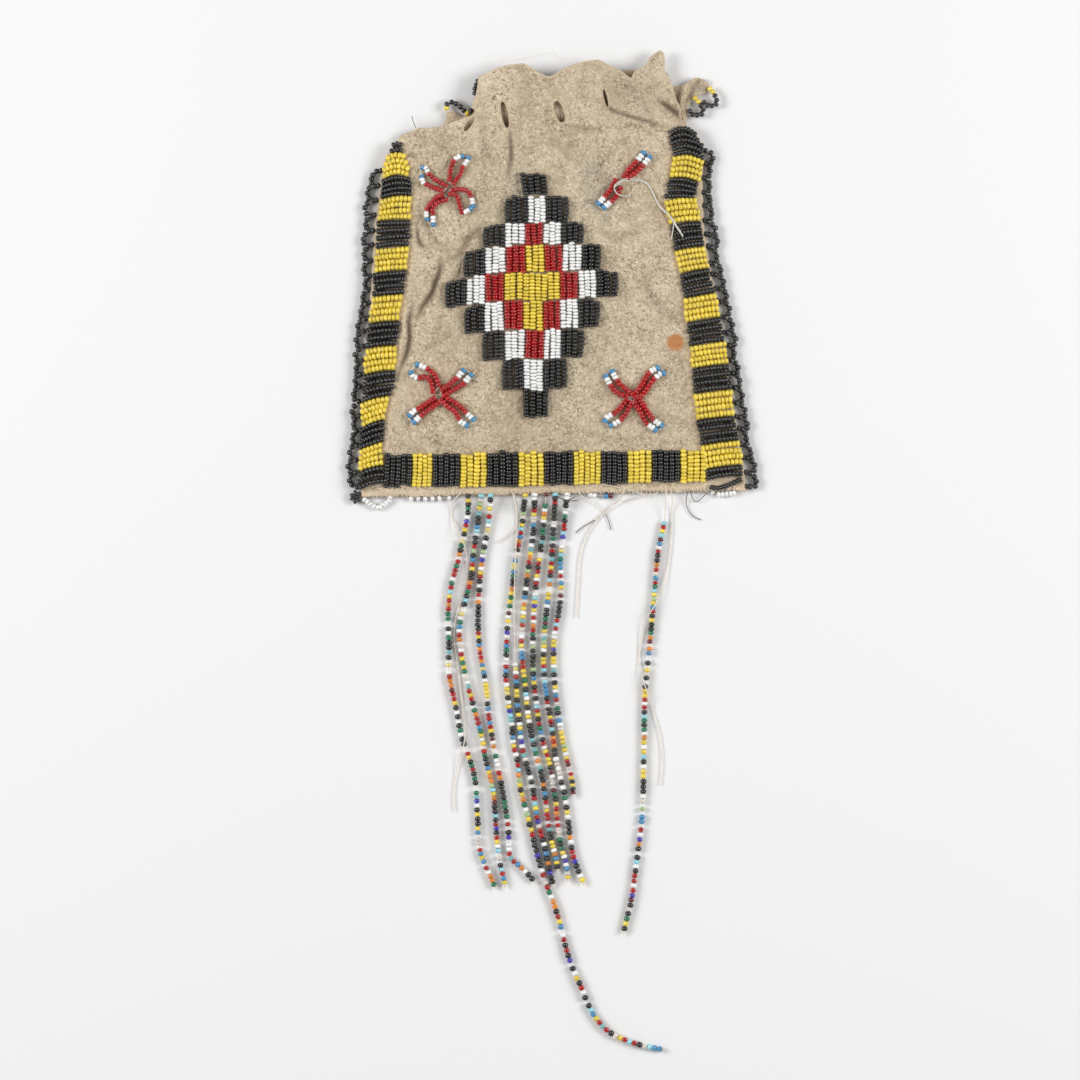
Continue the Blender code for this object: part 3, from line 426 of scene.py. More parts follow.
# %% Glass and thread
def make_glass(name, **look):
    """Seed-bead glass: its colour comes with each bead."""
    glass = Shading(name)
    cloud = glass.ramp(glass.noise(0.7, 2.0), 0.3, 0.7, 0.86, 1.08)
    shade = glass.node("ShaderNodeHueSaturation",
                       {"Color": glass.attribute("tint", "Color"), "Value": cloud}, "Color")
    glass.set(Base_Color=shade, IOR=1.55, **look)
    glass.bump(glass.noise(1.1, 1.0), 0.15, 0.08)
    return glass.material


def make_thread(name, colour, fuzz=0.4):
    """Twisted sewing thread."""
    thread = Shading(name)
    twist = thread.noise(0.35, 2.0, 0.6)
    shade = thread.mix(thread.ramp(twist, 0.35, 0.65), linear(*[0.8 * c for c in colour]),
                       linear(*colour))
    thread.set(Base_Color=shade, Roughness=0.85, Sheen_Weight=fuzz)
    thread.bump(twist, 0.6, 0.08)
    return thread.material


bead_glass = make_glass("bead_glass", Roughness=0.11, Specular_IOR_Level=0.75)
clear_glass = make_glass("clear_bead_glass", Roughness=0.10, Specular_IOR_Level=0.5,
                         Transmission_Weight=0.15)
pale_thread = make_thread("pale_thread", (250, 238, 222))
white_thread = make_thread("white_thread", (232, 226, 214))
dark_thread = make_thread("dark_thread", (96, 78, 66), 0.1)
print("materials:", len(bpy.data.materials))

# %% [markdown]
# ## Beads on thread
#
# One seed bead is a short round tube. A node tree sets it at each bead place, turned along the
# thread, sized and coloured by the values stored there, and draws the thread through the beads.

# %% One seed bead
BEAD_SIDES = 10
# Radius and height of the upper half, from the hole over the end to the side
HALF_PROFILE = ((0.18, 0.30), (0.22, 0.50), (0.34, 0.46), (0.445, 0.28))


def make_seed_bead():
    """A glass bead of unit width and unit length, with its hole along Z."""
    profile = (*HALF_PROFILE, (0.50, 0.0), *((radius, -height) for radius, height
                                            in reversed(HALF_PROFILE)))
    points, faces = [], []
    for ring, (radius, height) in enumerate(profile):
        here, following = ring * BEAD_SIDES, (ring + 1) % len(profile) * BEAD_SIDES
        for k in range(BEAD_SIDES):
            turn = 2 * math.pi * k / BEAD_SIDES
            points.append((radius * math.cos(turn), radius * math.sin(turn), height))
            after = (k + 1) % BEAD_SIDES
            faces.append((here + k, following + k, following + after, here + after))
    mesh = bpy.data.meshes.new("seed_bead")
    mesh.from_pydata(points, [], faces)
    mesh.flip_normals()
    mesh.shade_smooth()
    return add_object("seed_bead", mesh)


seed_bead = make_seed_bead()
print("faces in one bead:", len(seed_bead.data.polygons))


# %% Node tree that threads the beads
def make_bead_tree():
    """Beads at the marked points, and a thread along the edges."""
    tree = bpy.data.node_groups.new("Threaded beads", "GeometryNodeTree")
    for name, kind in (("Geometry", "Geometry"), ("Bead", "Object"), ("Bead Glass", "Material"),
                       ("Clear Glass", "Material"), ("Thread Material", "Material"),
                       ("Thread Radius", "Float"), ("Thread Sides", "Int")):
        tree.interface.new_socket(name, in_out="INPUT", socket_type="NodeSocket" + kind)
    tree.interface.new_socket("Geometry", in_out="OUTPUT", socket_type="NodeSocketGeometry")
    given = tree.nodes.new("NodeGroupInput").outputs

    def node(kind, output, **inputs):
        """One output of a new node in this tree."""
        values = {key.replace("_", " "): value for key, value in inputs.items()}
        return add_node(tree, "GeometryNode" + kind, values, output)

    def stored(name, kind):
        """A value stored on the points."""
        return add_node(tree, "GeometryNodeInputNamedAttribute", {"Name": name}, "Attribute",
                        data_type=kind)

    line = node("MeshToCurve", "Curve", Mesh=given["Geometry"])
    circle = node("CurvePrimitiveCircle", "Curve", Resolution=given["Thread Sides"],
                  Radius=given["Thread Radius"])
    tube = node("CurveToMesh", "Mesh", Curve=line, Profile_Curve=circle, Fill_Caps=True)
    thread = node("SetMaterial", "Geometry", Geometry=tube, Material=given["Thread Material"])
    bead = node("ObjectInfo", "Geometry", Object=given["Bead"])
    turn = add_node(tree, "FunctionNodeEulerToRotation",
                    {"Euler": stored("turn", "FLOAT_VECTOR")}, "Rotation")
    spread = node("InstanceOnPoints", "Instances", Points=given["Geometry"], Instance=bead,
                  Selection=stored("is_bead", "BOOLEAN"), Rotation=turn,
                  Scale=stored("size", "FLOAT_VECTOR"))
    glass = node("RealizeInstances", "Geometry", Geometry=spread)
    glass = node("SetMaterial", "Geometry", Geometry=glass, Material=given["Bead Glass"])
    glass = node("SetMaterial", "Geometry", Geometry=glass, Material=given["Clear Glass"],
                 Selection=stored("clear", "BOOLEAN"))
    together = node("JoinGeometry", "Geometry", Geometry=thread)
    feed(tree, together.node, {"Geometry": glass})
    feed(tree, tree.nodes.new("NodeGroupOutput"), {"Geometry": together})
    return tree


bead_tree = make_bead_tree()
socket_names = {item.name: item.identifier for item in bead_tree.interface.items_tree
                if item.in_out == "INPUT"}

# %% Bead colours
# Screen colour, whether the glass is clear, the bead's usual length and width in millimetres;
# a hyphen in a string of beads is a short stretch of bare thread
BEAD_KINDS = {
    "K": ((24, 23, 22), False, 1.50, 2.20), "Y": ((231, 204, 70), False, 1.38, 2.05),
    "W": ((240, 240, 238), False, 1.35, 2.20), "R": ((176, 12, 14), True, 1.42, 2.08),
    "B": ((70, 138, 184), False, 1.45, 2.10), "L": ((148, 208, 222), False, 1.38, 2.10),
    "T": ((124, 188, 190), True, 1.35, 2.05), "G": ((14, 112, 76), False, 1.45, 2.10),
    "O": ((228, 140, 50), True, 1.45, 2.05), "C": ((66, 56, 176), True, 1.45, 2.10),
    "N": ((176, 206, 148), True, 1.35, 2.00), "P": ((226, 216, 206), True, 1.35, 2.05),
    "M": ((96, 18, 24), False, 1.40, 2.00), "E": ((232, 214, 128), True, 1.35, 2.05)}
BARE_LENGTH = 0.9
LONGEST_BEAD = 1.75
SHADE_SPREAD = 0.07
THREAD_SIDES = 5
dice = np.random.default_rng(11)


# %% Smooth routes
def smooth(route, step):
    """Points about a step apart on a smooth curve through a route."""
    points = np.asarray(route, float)
    ends = np.vstack((2 * points[0] - points[1], points, 2 * points[-1] - points[-2]))
    fine = []
    for k in range(1, len(ends) - 2):
        before, start, end, after = ends[k - 1:k + 3]
        parts = max(1, round(float(np.linalg.norm(end - start)) / step))
        for t in np.arange(parts) / parts:
            fine.append(0.5 * (2 * start + (end - before) * t
                               + (2 * before - 5 * start + 4 * end - after) * t ** 2
                               + (3 * start - before - 3 * end + after) * t ** 3))
    fine.append(points[-1])
    return np.array(fine)


# %% Collect threads and beads, then make one mesh of them
class Beading:
    """Beads and threads of one piece, gathered and then made into one mesh."""

    def __init__(self, name, thread=white_thread, thread_width=0.3):
        self.name, self.thread_material, self.thread_width = name, thread, thread_width
        self.points, self.links, self.beads = [], [], []

    def thread(self, route):
        """A thread along points in millimetres."""
        first = len(self.points)
        self.points += [tuple(point) for point in route]
        self.links += [(first + k, first + k + 1) for k in range(len(route) - 1)]

    def bead(self, place, way, letter, width, length):
        """One bead, with its hole along a direction."""
        colour, clear = BEAD_KINDS[letter][:2]
        turn = Vector(way).to_track_quat("Z", "Y").to_euler()
        turn.rotate_axis("Z", dice.uniform(0.0, 6.28))
        spread = dice.uniform(-SHADE_SPREAD, SHADE_SPREAD)
        value = 1.0 + spread * (2.0 if letter in "YRO" else 1.0)
        tint = [channel * value for channel in linear(*colour)[:3]] + [1.0]
        self.beads.append((tuple(place), tuple(turn), (width, width, length), tint, clear))

    def string(self, route, letters, width, fill, wobble):
        """Beads of a width, or each colour's usual one, fitted along a 3-D route of thread."""
        steps = marks_of(route)
        lengths = np.array([BARE_LENGTH if c == "-" else BEAD_KINDS[c][2] for c in letters])
        lengths = lengths * dice.uniform(0.93, 1.07, len(lengths))
        lengths *= steps[-1] / lengths.sum()
        middles = np.cumsum(lengths) - 0.5 * lengths
        for letter, middle, length in zip(letters, middles, lengths):
            if letter == "-":
                continue
            place = [np.interp(middle, steps, route[:, k]) for k in range(3)]
            ahead = np.array([np.interp(middle + 0.4, steps, route[:, k])
                              - np.interp(middle - 0.4, steps, route[:, k]) for k in range(3)])
            ahead = ahead / np.linalg.norm(ahead) + dice.normal(0.0, wobble, 3)
            place = np.array(place) + dice.normal(0.0, 0.5 * wobble, 3)
            wide = width or BEAD_KINDS[letter][3]
            self.bead(place, ahead, letter, wide * dice.uniform(0.94, 1.05),
                      min(length * fill, LONGEST_BEAD))
        self.thread(route)

    def make(self, *nodes, slot, body="bag"):
        """Make the mesh, set it on its body and let it stand for its solids."""
        mesh = bpy.data.meshes.new(self.name)
        places = self.points + [bead[0] for bead in self.beads]
        mesh.from_pydata([tuple(c * MM for c in place) for place in places], self.links, [])
        threads, empty = len(self.points), (0.0, 0.0, 0.0)

        def store(name, kind, values, field="value"):
            made = mesh.attributes.new(name, kind, "POINT")
            made.data.foreach_set(field, np.array(values).ravel())

        store("is_bead", "BOOLEAN", [False] * threads + [True] * len(self.beads))
        store("clear", "BOOLEAN", [False] * threads + [bead[4] for bead in self.beads])
        store("turn", "FLOAT_VECTOR", [empty] * threads + [bead[1] for bead in self.beads],
              "vector")
        store("size", "FLOAT_VECTOR", [empty] * threads
              + [tuple(c * MM for c in bead[2]) for bead in self.beads], "vector")
        store("tint", "FLOAT_COLOR", [(1.0, 1.0, 1.0, 1.0)] * threads
              + [bead[3] for bead in self.beads], "color")
        piece = add_object(self.name, mesh)
        beads = piece.modifiers.new("beads", "NODES")
        beads.node_group = bead_tree
        for key, value in (("Bead", seed_bead), ("Bead Glass", bead_glass),
                           ("Clear Glass", clear_glass), ("Thread Material", self.thread_material),
                           ("Thread Radius", 0.5 * self.thread_width * MM),
                           ("Thread Sides", THREAD_SIDES)):
            beads[socket_names[key]] = value
        return settle(piece, nodes, body)


def counted(piece):
    """The piece, with its triangles counted and printed."""
    piece.data.calc_loop_triangles()
    print(f"{piece.name}: {len(piece.data.loop_triangles)} triangles")
    return piece


def settle(piece, nodes, body):
    """Apply a piece's modifiers, then tie it to its body and solids."""
    bpy.context.view_layer.update()
    graph = bpy.context.evaluated_depsgraph_get()
    mesh = bpy.data.meshes.new_from_object(piece.evaluated_get(graph), depsgraph=graph,
                                           preserve_all_data_layers=True)
    piece.modifiers.clear()
    piece.data = mesh
    mesh.name = piece.name
    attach(piece, body)
    if nodes:
        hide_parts(*nodes)
    return counted(piece)


BEAD_LIFT = 1.0


def on_front(route):
    """A 2-D route of thread laid on the front, as high over the hide as the beads on it need."""
    return np.column_stack((route, front_height(route[:, 0], route[:, 1]) + BEAD_LIFT))

# %% [markdown]
# ## The fringe
#
# Each strand is a free cord of limp thread with beads on it, as long as its solid: the routes
# repeat those of the solids, from the stitch in the hem. The letters are bead colours from the
# stitch to the knot, read off the photograph. Colours that are blurred or hidden there are
# guesses.

# %% Routes of the strands and loose threads
# Heights of a strand's first points, where it comes over the hem; the rest lie on the table
OVER_HEM = (4.0, 3.6, 2.0)
OVER_NEIGHBOUR = (3.2, 3.0, 2.7, 2.7, 2.7, 2.7, 2.6, 1.9)
LYING = 1.1
# Stitch as a share of the half width, heights, then the route from the stitch: across and along.
# The sixth centre strand hangs from a bare thread that lies over its left neighbour
FRINGE_ROUTES = {
    "fringe_left_1": (-0.446, OVER_HEM, (
        (0, 0), (0, -2.5), (0, -6), (-1.4, -14), (-3.7, -23.6), (-5.8, -31.7), (-6.8, -41.6),
        (-6.5, -51.8), (-6.5, -61), (-4.1, -72.9), (-2, -83.1), (0, -88.5), (2.4, -97.3),
        (3.1, -107.2), (3.7, -119.4), (6.1, -126.9), (9.2, -133.4))),
    "fringe_left_2": (-0.376, OVER_HEM, (
        (0, 0), (-0.3, -2.5), (-0.8, -6), (-1.2, -9.3), (-2.6, -19.5), (-3.6, -28.7),
        (-5.9, -37.9), (-7.5, -44.7), (-7, -53.2), (-5.6, -61), (-3.2, -70.5), (-0.5, -80.4),
        (1.5, -90.6), (3.9, -100.8), (4.9, -112.7), (5.9, -123.6), (8, -132.8))),
    "fringe_left_3": (-0.327, OVER_HEM, (
        (0, 0), (-0.2, -2.5), (-0.5, -6), (-1, -11.4), (-2.7, -20.6), (-3.9, -31.2), (-4.4, -43.1),
        (-3.7, -53.9), (-1.7, -65.5), (-0.7, -76), (0.7, -84.5), (2.7, -94.7), (4.8, -106),
        (6.1, -116.2), (6.1, -120.6), (6.8, -124), (10.5, -127.4), (14.6, -131.5))),
    "fringe_centre_1": (-0.148, OVER_HEM, (
        (0, 0), (-0.3, -2.5), (-0.7, -6), (-1, -9.3), (-2.2, -16.7), (-3.6, -23.5), (-4.2, -30.3),
        (-5.4, -38.5), (-6.2, -46.7), (-6.5, -53.5), (-6.6, -62.3), (-5.9, -70.5), (-4.6, -79),
        (-4.1, -85.8), (-2.7, -91.5), (-1.9, -99.4), (-0.2, -106.5), (1.9, -114.7), (3.6, -121.5),
        (5.3, -127.6), (7.7, -134.7), (9.7, -139.5), (11.7, -146.3), (13.8, -154.8),
        (16.2, -161.9), (18.9, -168), (21.6, -174.5), (24.7, -179.6), (29.1, -183.7),
        (35.9, -186.7), (41, -188.1), (46.4, -189.1))),
    "fringe_centre_2": (-0.1, OVER_HEM, (
        (0, 0), (-0.1, -2.5), (-0.2, -6), (-0.4, -10), (-0.6, -14.1), (-2.3, -26.3), (-3.6, -38.2),
        (-4.5, -50.1), (-4, -58.6), (-3, -67.1), (-2.3, -75.3), (-0.9, -83.4), (1, -90.9),
        (2.7, -97.7), (3.7, -104.5), (4.7, -112.7), (6.1, -119.8), (7.2, -124.2), (7.9, -128))),
    "fringe_centre_3": (-0.04, OVER_HEM, (
        (0, 0), (-0.2, -2.5), (-0.5, -6), (-0.9, -10), (-1.5, -16.5), (-3.5, -31.5), (-4.5, -46.8),
        (-4.5, -59.7), (-3.5, -70.6), (-2.5, -78.1), (-0.8, -85.9), (1.1, -92.3), (2.3, -99.5),
        (3.3, -106.3), (4.1, -114.1), (5, -120.2), (6.5, -125.7), (7.4, -131.4))),
    "fringe_centre_4": (0.007, OVER_HEM, (
        (0, 0), (-0.1, -2.5), (-0.3, -6), (-0.5, -10), (-1, -19), (-2, -31.5), (-3.5, -45.1),
        (-4, -58.7), (-2.8, -70.6), (-1.1, -80.8), (-0.1, -89), (1.6, -96.5), (3.3, -104),
        (4.3, -111.4), (5.2, -118.9), (6.7, -125.7), (9.4, -132.5))),
    "fringe_centre_5": (0.069, OVER_HEM, (
        (0, 0), (-0.2, -2.5), (-0.6, -6), (-0.9, -10), (-1.1, -12.2), (-2.3, -23.1), (-2.1, -31.6),
        (-2.7, -39.4), (-4.5, -50.3), (-4.5, -61.2), (-3.5, -72.1), (-2.1, -81.6), (-0.4, -89.7),
        (1.3, -96.5), (2.1, -102.7))),
    "fringe_right": (0.581, OVER_HEM, (
        (0, 0), (-0.1, -2.5), (-0.3, -6), (-0.5, -10.4), (-2.7, -21.3), (-3.7, -32.2),
        (-4.8, -44.4), (-6.1, -58), (-7.1, -68.5), (-7.5, -85.5), (-7.8, -101.5), (-8.5, -115.1),
        (-10.2, -127.7), (-11.6, -138.2), (-14.3, -149.8))),
    "fringe_centre_6": (-0.213, OVER_NEIGHBOUR, (
        (0, 0), (0.5, -2.4), (1.2, -6.5), (1.2, -14.3), (0.8, -22.8), (0.6, -30.6), (0.4, -38.4),
        (0.5, -44.9), (0.5, -51.7), (0.7, -56.8), (1, -62.2), (1.4, -70.4), (2.2, -77.9),
        (2.9, -84.7), (4.4, -91.5), (6.5, -99), (7.5, -105.8), (8.8, -113.2), (10.9, -120.7),
        (12.1, -126.8), (13.6, -133)))}

# Loose threads: stitch, then the route from it: across, along and height
LOOSE_THREADS = {
    "loose_thread_left": (-0.491, (
        (0, 0, 3.2), (-1.9, -2.4, 2.4), (-2.7, -4.8, 0.5), (-2.5, -8.2, 0.4), (-0.9, -12.3, 1.9),
        (0.7, -15.3, 2.8), (2, -18.4, 2.2), (2.6, -23.2, 0.5), (2.2, -29.3, 0.4),
        (0.9, -34.7, 0.4), (-0.3, -38.8, 0.4), (-1.5, -43.6, 0.4), (-1.7, -50, 0.4),
        (-1, -54.8, 0.4), (-0.2, -61.6, 0.4), (0.5, -68, 0.4), (1.4, -75.2, 0.6), (1.9, -81, 1.8),
        (1.4, -85.7, 2.6), (-0.3, -90.5, 0.9), (-1.2, -95.9, 0.4), (-1.9, -102, 0.4),
        (-1.7, -107.8, 0.4))),
    "loose_thread_centre": (0.363, (
        (0, 0, 3.2), (-2, -3, 2.2), (-4.8, -5.7, 0.6), (-8.2, -8.8, 0.4), (-11.2, -12.5, 0.4),
        (-13.4, -16.6, 0.4), (-15, -22.7, 0.4), (-15.6, -31.2, 0.4), (-16, -37.7, 0.4),
        (-16.3, -43.1, 0.4))),
    "loose_thread_right": (0.607, (
        (0, 0, 3.2), (0.5, -3.3, 2.4), (0.3, -6.7, 0.5), (0.2, -14.9, 0.4), (-1, -25.7, 0.4),
        (-3.4, -34.6, 1.4), (-6.3, -40.4, 2.8), (-9.2, -44.8, 1.3), (-10.5, -52.3, 0.4),
        (-10.7, -59.1, 0.5), (-9.5, -64.5, 2.4), (-7.8, -69.3, 2.5), (-6.6, -73.3, 0.5),
        (-5.1, -78.8, 0.4), (-3.6, -84.9, 0.4), (-3.1, -91.7, 0.4), (-3.7, -100.2, 0.4)))}

# %% Beads of the strands
# Body of each strand, the row of the photograph where its beads begin, then its beads in groups
# by the row where each group ends; the last one ends at the knot
END = IMAGE_SIZE
STRAND_BEADS = {
    "fringe_left_1": ("strand_left_1", 0, (
        (619.5, "KYKGKWCRYK-EGKO-RGRRWGRLYRORGG"), (749.6, "--KWGKKTK-E-WROOMRRYKWKWKGWKK--"),
        (END, "RYKGRKGK--GTCWKYKKYB-PP-RBYB-RWOOG"))),
    "fringe_left_2": ("strand_left_2", 0, (
        (619, "LPNY-TKKBL-KKRNKBRYKKORGKLK--EW"), (748, "GBWRO-PWRYGYG-PWTRYRK-GORRBGYWY-"),
        (END, "RGKKBYOONLYOMKKLKRCKRYWL-P-KLRBY"))),
    "fringe_left_3": ("strand_left_3", 0, (
        (621.6, "LKWYPRLWEPKWKNWCOWYRKWKR-OKKKK"), (750, "KKRYKBORROBEBKWYYYYPKB-RRBRYKMWO-"),
        (END, "-GWW-ROKKKKGGKG-R-KC-WWRTRBOWKK"))),
    "fringe_centre_1": ("strand_centre_1", 0, (
        (623, "Y-KKKNPKYLRBORK-PBEEBGKKOYGYG-MWY"), (751, "-KCWRBGKW-RBKRWYEKWYCLTWKKBWYR"),
        (884, "WKRLONYKYOGWNYKYRKKKCKKWR-P"),
        (END, "RGWOOKRYB-WRKRKC-KWYKRWK-KLBYRTRKPYRLRKPLBB"))),
    "fringe_centre_2": ("strand_centre_2", 0, (
        (625.4, "WWKKRY-PBKK-KWTYORKNOKKWKB-OYWYTR"), (755, "P-WRY-BBRRYYGYKLWYKWYWKKKTKTG"),
        (END, "-O-TKKKOKBKRPYRR-RTKKYYWOBYK"))),
    "fringe_centre_3": ("strand_centre_3", 0, (
        (621.6, "M---GWOYWKGGKTKK--YRKRYWRK-WLYCYWRW"),
        (756, "ORGKWNKKKKNKBYKR-KWLRYKRGB-KRWYR"), (END, "YYKMW-P-MGKYROR-R-P-GKGYWCWBPY"))),
    "fringe_centre_4": ("strand_centre_4", 0, (
        (625, "LKRKKKK-WKKG-KRKTRYRKLO--YYBWKKGM"), (755, "GY-TNYWKYYRLK-LBBBKR-KKYRMLKOROKK"),
        (END, "WPWPWKWKGWKYWKKKOWKRRCKKWY"))),
    "fringe_centre_5": ("strand_centre_5", 0, (
        (630, "WWKK-WGKRRLC--WELGBBWR-BYPM-KKKKRLR"), (754, "WWYYCKYYWTK-KYWBRPGK-BWPYYYNYW"),
        (END, "YRMP-RYKYKM"))),
    "fringe_right": ("strand_right", 519.5, (
        (742, "LRYLMBWRKKORPBRGLYNYBRKYKKGOM-OB--K-YPKWKYYRWRKLGKGWOY"),
        (END, "WYLKWYYKKKWP-N-BB-RWCOK-KLWKRRWRCMKPKGYK"))),
    "fringe_centre_6": ("strand_centre_1", 662, (
        (752.6, "WEWRBKYYKBKYKWYBWCWR"), (END, "TPKKKWK-KKRLYBRCPRRKWKBKOKCKK")))}


# %% Stitches, knots and cords
STITCH_INSET = 0.5
KNOT_WIDTH, KNOT_TURNS, KNOT_POINTS, KNOT_TAIL = 0.75, 3.2, 26, 0.9


def from_hem(share, offsets, step):
    """A smooth route given by its offsets from a stitch in the hem."""
    x = share * HALF_WIDTH
    stitch = np.array((x, bottom_line(x) + STITCH_INSET, 0.0))
    return smooth([stitch + np.array(point) for point in offsets], step)


def knot(beading, place, way):
    """A small hard knot: turns of the thread about its end."""
    way = way / np.linalg.norm(way)
    side = np.cross(way, (0.0, 0.0, 1.0))
    up = np.cross(side, way)
    turns = np.linspace(0.0, KNOT_TURNS * 2 * math.pi, KNOT_POINTS)
    swell = KNOT_WIDTH * 0.5 * (0.55 + 0.45 * np.sin(np.linspace(0.3, 2.8, KNOT_POINTS)))
    along = 0.5 * KNOT_WIDTH * (np.arange(KNOT_POINTS) / (KNOT_POINTS - 1) - 0.3)
    coil = [place + way * a + (side * math.cos(t) + up * math.sin(t)) * s
            for a, t, s in zip(along, turns, swell)]
    beading.thread(coil + [coil[-1] + way * KNOT_TAIL])
    beading.thread([place, place + way * KNOT_TAIL + side * 0.35])


def declare(path):
    """The length of a strand or thread in metres."""
    length = float(steps_of(path).sum()) * MM
    return length


# %% Strands of mixed beads
# A bare end shorter than this is a stitch that hangs on its strand, not a cord of its own
SHORTEST_CORD = 30.0
strand_lengths = {}
for name, (share, heights, flat) in FRINGE_ROUTES.items():
    body, first_row, groups = STRAND_BEADS[name]
    heights = heights + (LYING,) * (len(flat) - len(heights))
    path = from_hem(share, [(*point, height) for point, height in zip(flat, heights)], 0.8)
    rows = np.maximum.accumulate(row_of(path[:, 1]))
    bare = int(np.searchsorted(rows, first_row))
    if bare:
        thread = Beading(name + "_thread", pale_thread, 0.4)
        thread.thread(path[:bare + 2])
        piece = thread.make(name, body=body, slot="fringe_beads")
        if rows[bare] - rows[0] > SHORTEST_CORD / PIXEL:
            strand_lengths[name + " bare"] = declare(path[:bare + 2])
    strand = Beading(name + "_beads", pale_thread, 0.35)
    start = bare
    for row, letters in groups:
        end = min(int(np.searchsorted(rows, row)), len(path) - 1)
        strand.string(path[start:end + 1], letters, width=None, fill=0.95, wobble=0.09)
        start = end
    way = path[-1] - path[-2]
    knot(strand, path[-1] + way * 0.2, way)
    piece = strand.make(name, body=body, slot="fringe_beads")
    strand_lengths[name] = declare(path[bare:])

# %% Loose ends of the sewing thread
THREAD_BODIES = {"loose_thread_left": "strand_left_1", "loose_thread_right": "strand_right"}
for name, (share, offsets) in LOOSE_THREADS.items():
    path = from_hem(share, offsets, 1.0)
    line = Beading(name + "_line", pale_thread, 0.38)
    line.thread(path)
    piece = line.make(name, body=THREAD_BODIES.get(name, "bag"), slot="thread")
    strand_lengths[name] = declare(path)
print({name: round(length / MM, 1) for name, length in strand_lengths.items()})

# %% [markdown]
# ## The hide
#
# Each panel is cut from a fine net of points inside its outline, with the drawstring slits left
# out, then given its thickness with softened edges. Values painted on the points darken creases
# with painted shade, mark stains and lighten the cut edges.

# %% Outlines
SEAM_POINTS = 60


def inside(points, outline):
    """Which 2-D points lie inside a closed outline."""
    x, y = points[:, 0], points[:, 1]
    held = np.zeros(len(points), bool)
    for (x0, y0), (x1, y1) in zip(outline, np.roll(outline, -1, axis=0)):
        if y0 == y1:
            continue
        crosses = (y0 > y) != (y1 > y)
        held ^= crosses & (x < (x1 - x0) * (y - y0) / (y1 - y0) + x0)
    return held


def spaced(outline, step, ragged, seed):
    """Points a step apart round a closed outline, made a little ragged."""
    closed = np.vstack((outline, outline[:1]))
    steps = marks_of(closed)
    marks = np.linspace(0.0, steps[-1], round(steps[-1] / step), endpoint=False)
    points = np.column_stack([np.interp(marks, steps, closed[:, k]) for k in (0, 1)])
    wear = np.column_stack([waves(points[:, 0], points[:, 1], size, seed + n)
                            for n, size in enumerate((3.5, 2.9))])
    fray = np.random.default_rng(seed).normal(0.0, 0.18 * ragged, points.shape)
    return points + ragged * wear + fray


def round_bag(hem, right_inset, mouth, left_inset, step, ragged, seed):
    """An outline along the hem, up the right seam, over the mouth and down the left seam."""
    rows = np.linspace(BOTTOM_Y, FOLD_Y - 1.0, SEAM_POINTS)
    right = np.column_stack((right_edge(rows) - right_inset, rows))[3:]
    left = np.column_stack((left_edge(rows) + left_inset, rows))[:2:-1]
    return spaced(np.vstack((hem, right, mouth, left)), step, ragged, seed)


def edge_distance(points, outline):
    """Distance of 2-D points to a closed outline."""
    best = np.full(len(points), 1e9)
    for start, end in zip(outline, np.roll(outline, -1, axis=0)):
        way = end - start
        share = np.clip(((points - start) @ way) / max(way @ way, 1e-12), 0.0, 1.0)
        away = points - start - share[:, None] * way
        best = np.minimum(best, np.hypot(away[:, 0], away[:, 1]))
    return best


def rim_distance(points, rings):
    """Distance of 2-D points to the nearest of some closed outlines."""
    return np.min([edge_distance(points, ring) for ring in rings], axis=0)


def between_rings(points, rings):
    """Which 2-D points lie inside the first outline and outside the others."""
    keep = inside(points, rings[0])
    for hole in rings[1:]:
        keep &= ~inside(points, hole)
    return keep


# %% Cut a sheet of hide
EDGE_ROUNDING = 0.30
ROW_SPACING = 0.866


def fill_net(rings, step):
    """A flat net of triangles inside an outline and round its holes: points and faces."""
    low, high = rings[0].min(0), rings[0].max(0)
    rows = np.arange(low[1], high[1], step * ROW_SPACING)
    net = np.array([(x + (0.5 * step if k % 2 else 0.0), y) for k, y in enumerate(rows)
                    for x in np.arange(low[0], high[0], step)])
    net = net[between_rings(net, rings)]
    net = net[rim_distance(net, rings) > 0.5 * step]
    links, first = [], 0
    for ring in rings:
        links += [(first + k, first + (k + 1) % len(ring)) for k in range(len(ring))]
        first += len(ring)
    points = [Vector(point) for point in np.vstack((*rings, net))]
    places, _, faces, *_ = delaunay_2d_cdt(points, links, [], 0, 1e-6, False)
    flat = np.array([tuple(place) for place in places])
    faces = np.array([tuple(face) for face in faces])
    return flat, faces[between_rings(flat[faces].mean(axis=1), rings)]


def cut_sheet(name, rings, step, top_height, material, paint):
    """A sheet of hide with a thickness, soft edges and painted values."""
    flat, faces = fill_net(rings, step)
    rim = rim_distance(flat, rings)
    top = top_height(flat[:, 0], flat[:, 1])
    round_off = EDGE_ROUNDING * HIDE * (1.0 - np.clip(rim / (0.9 * step), 0.0, 1.0))
    upper = np.column_stack((flat, top - round_off)) * MM
    lower = np.column_stack((flat, top - HIDE + 0.6 * round_off)) * MM
    count = len(flat)
    sides = dict.fromkeys(edge for a, b, c in faces for edge in ((a, b), (b, c), (c, a)))
    walls = [(a, a + count, b + count, b) for a, b in sides if (b, a) not in sides]
    backs = [(c + count, b + count, a + count) for a, b, c in faces]
    mesh = bpy.data.meshes.new(name)
    mesh.from_pydata([tuple(p) for p in np.vstack((upper, lower))], [],
                     [tuple(face) for face in faces] + backs + walls)
    mesh.materials.append(material)
    mesh.shade_smooth()
    for key, values in paint(flat[:, 0], flat[:, 1], rim).items():
        made = mesh.attributes.new(key, "FLOAT", "POINT")
        made.data.foreach_set("value", np.tile(np.clip(values, 0.0, 1.0), 2))
    return counted(add_object(name, mesh))


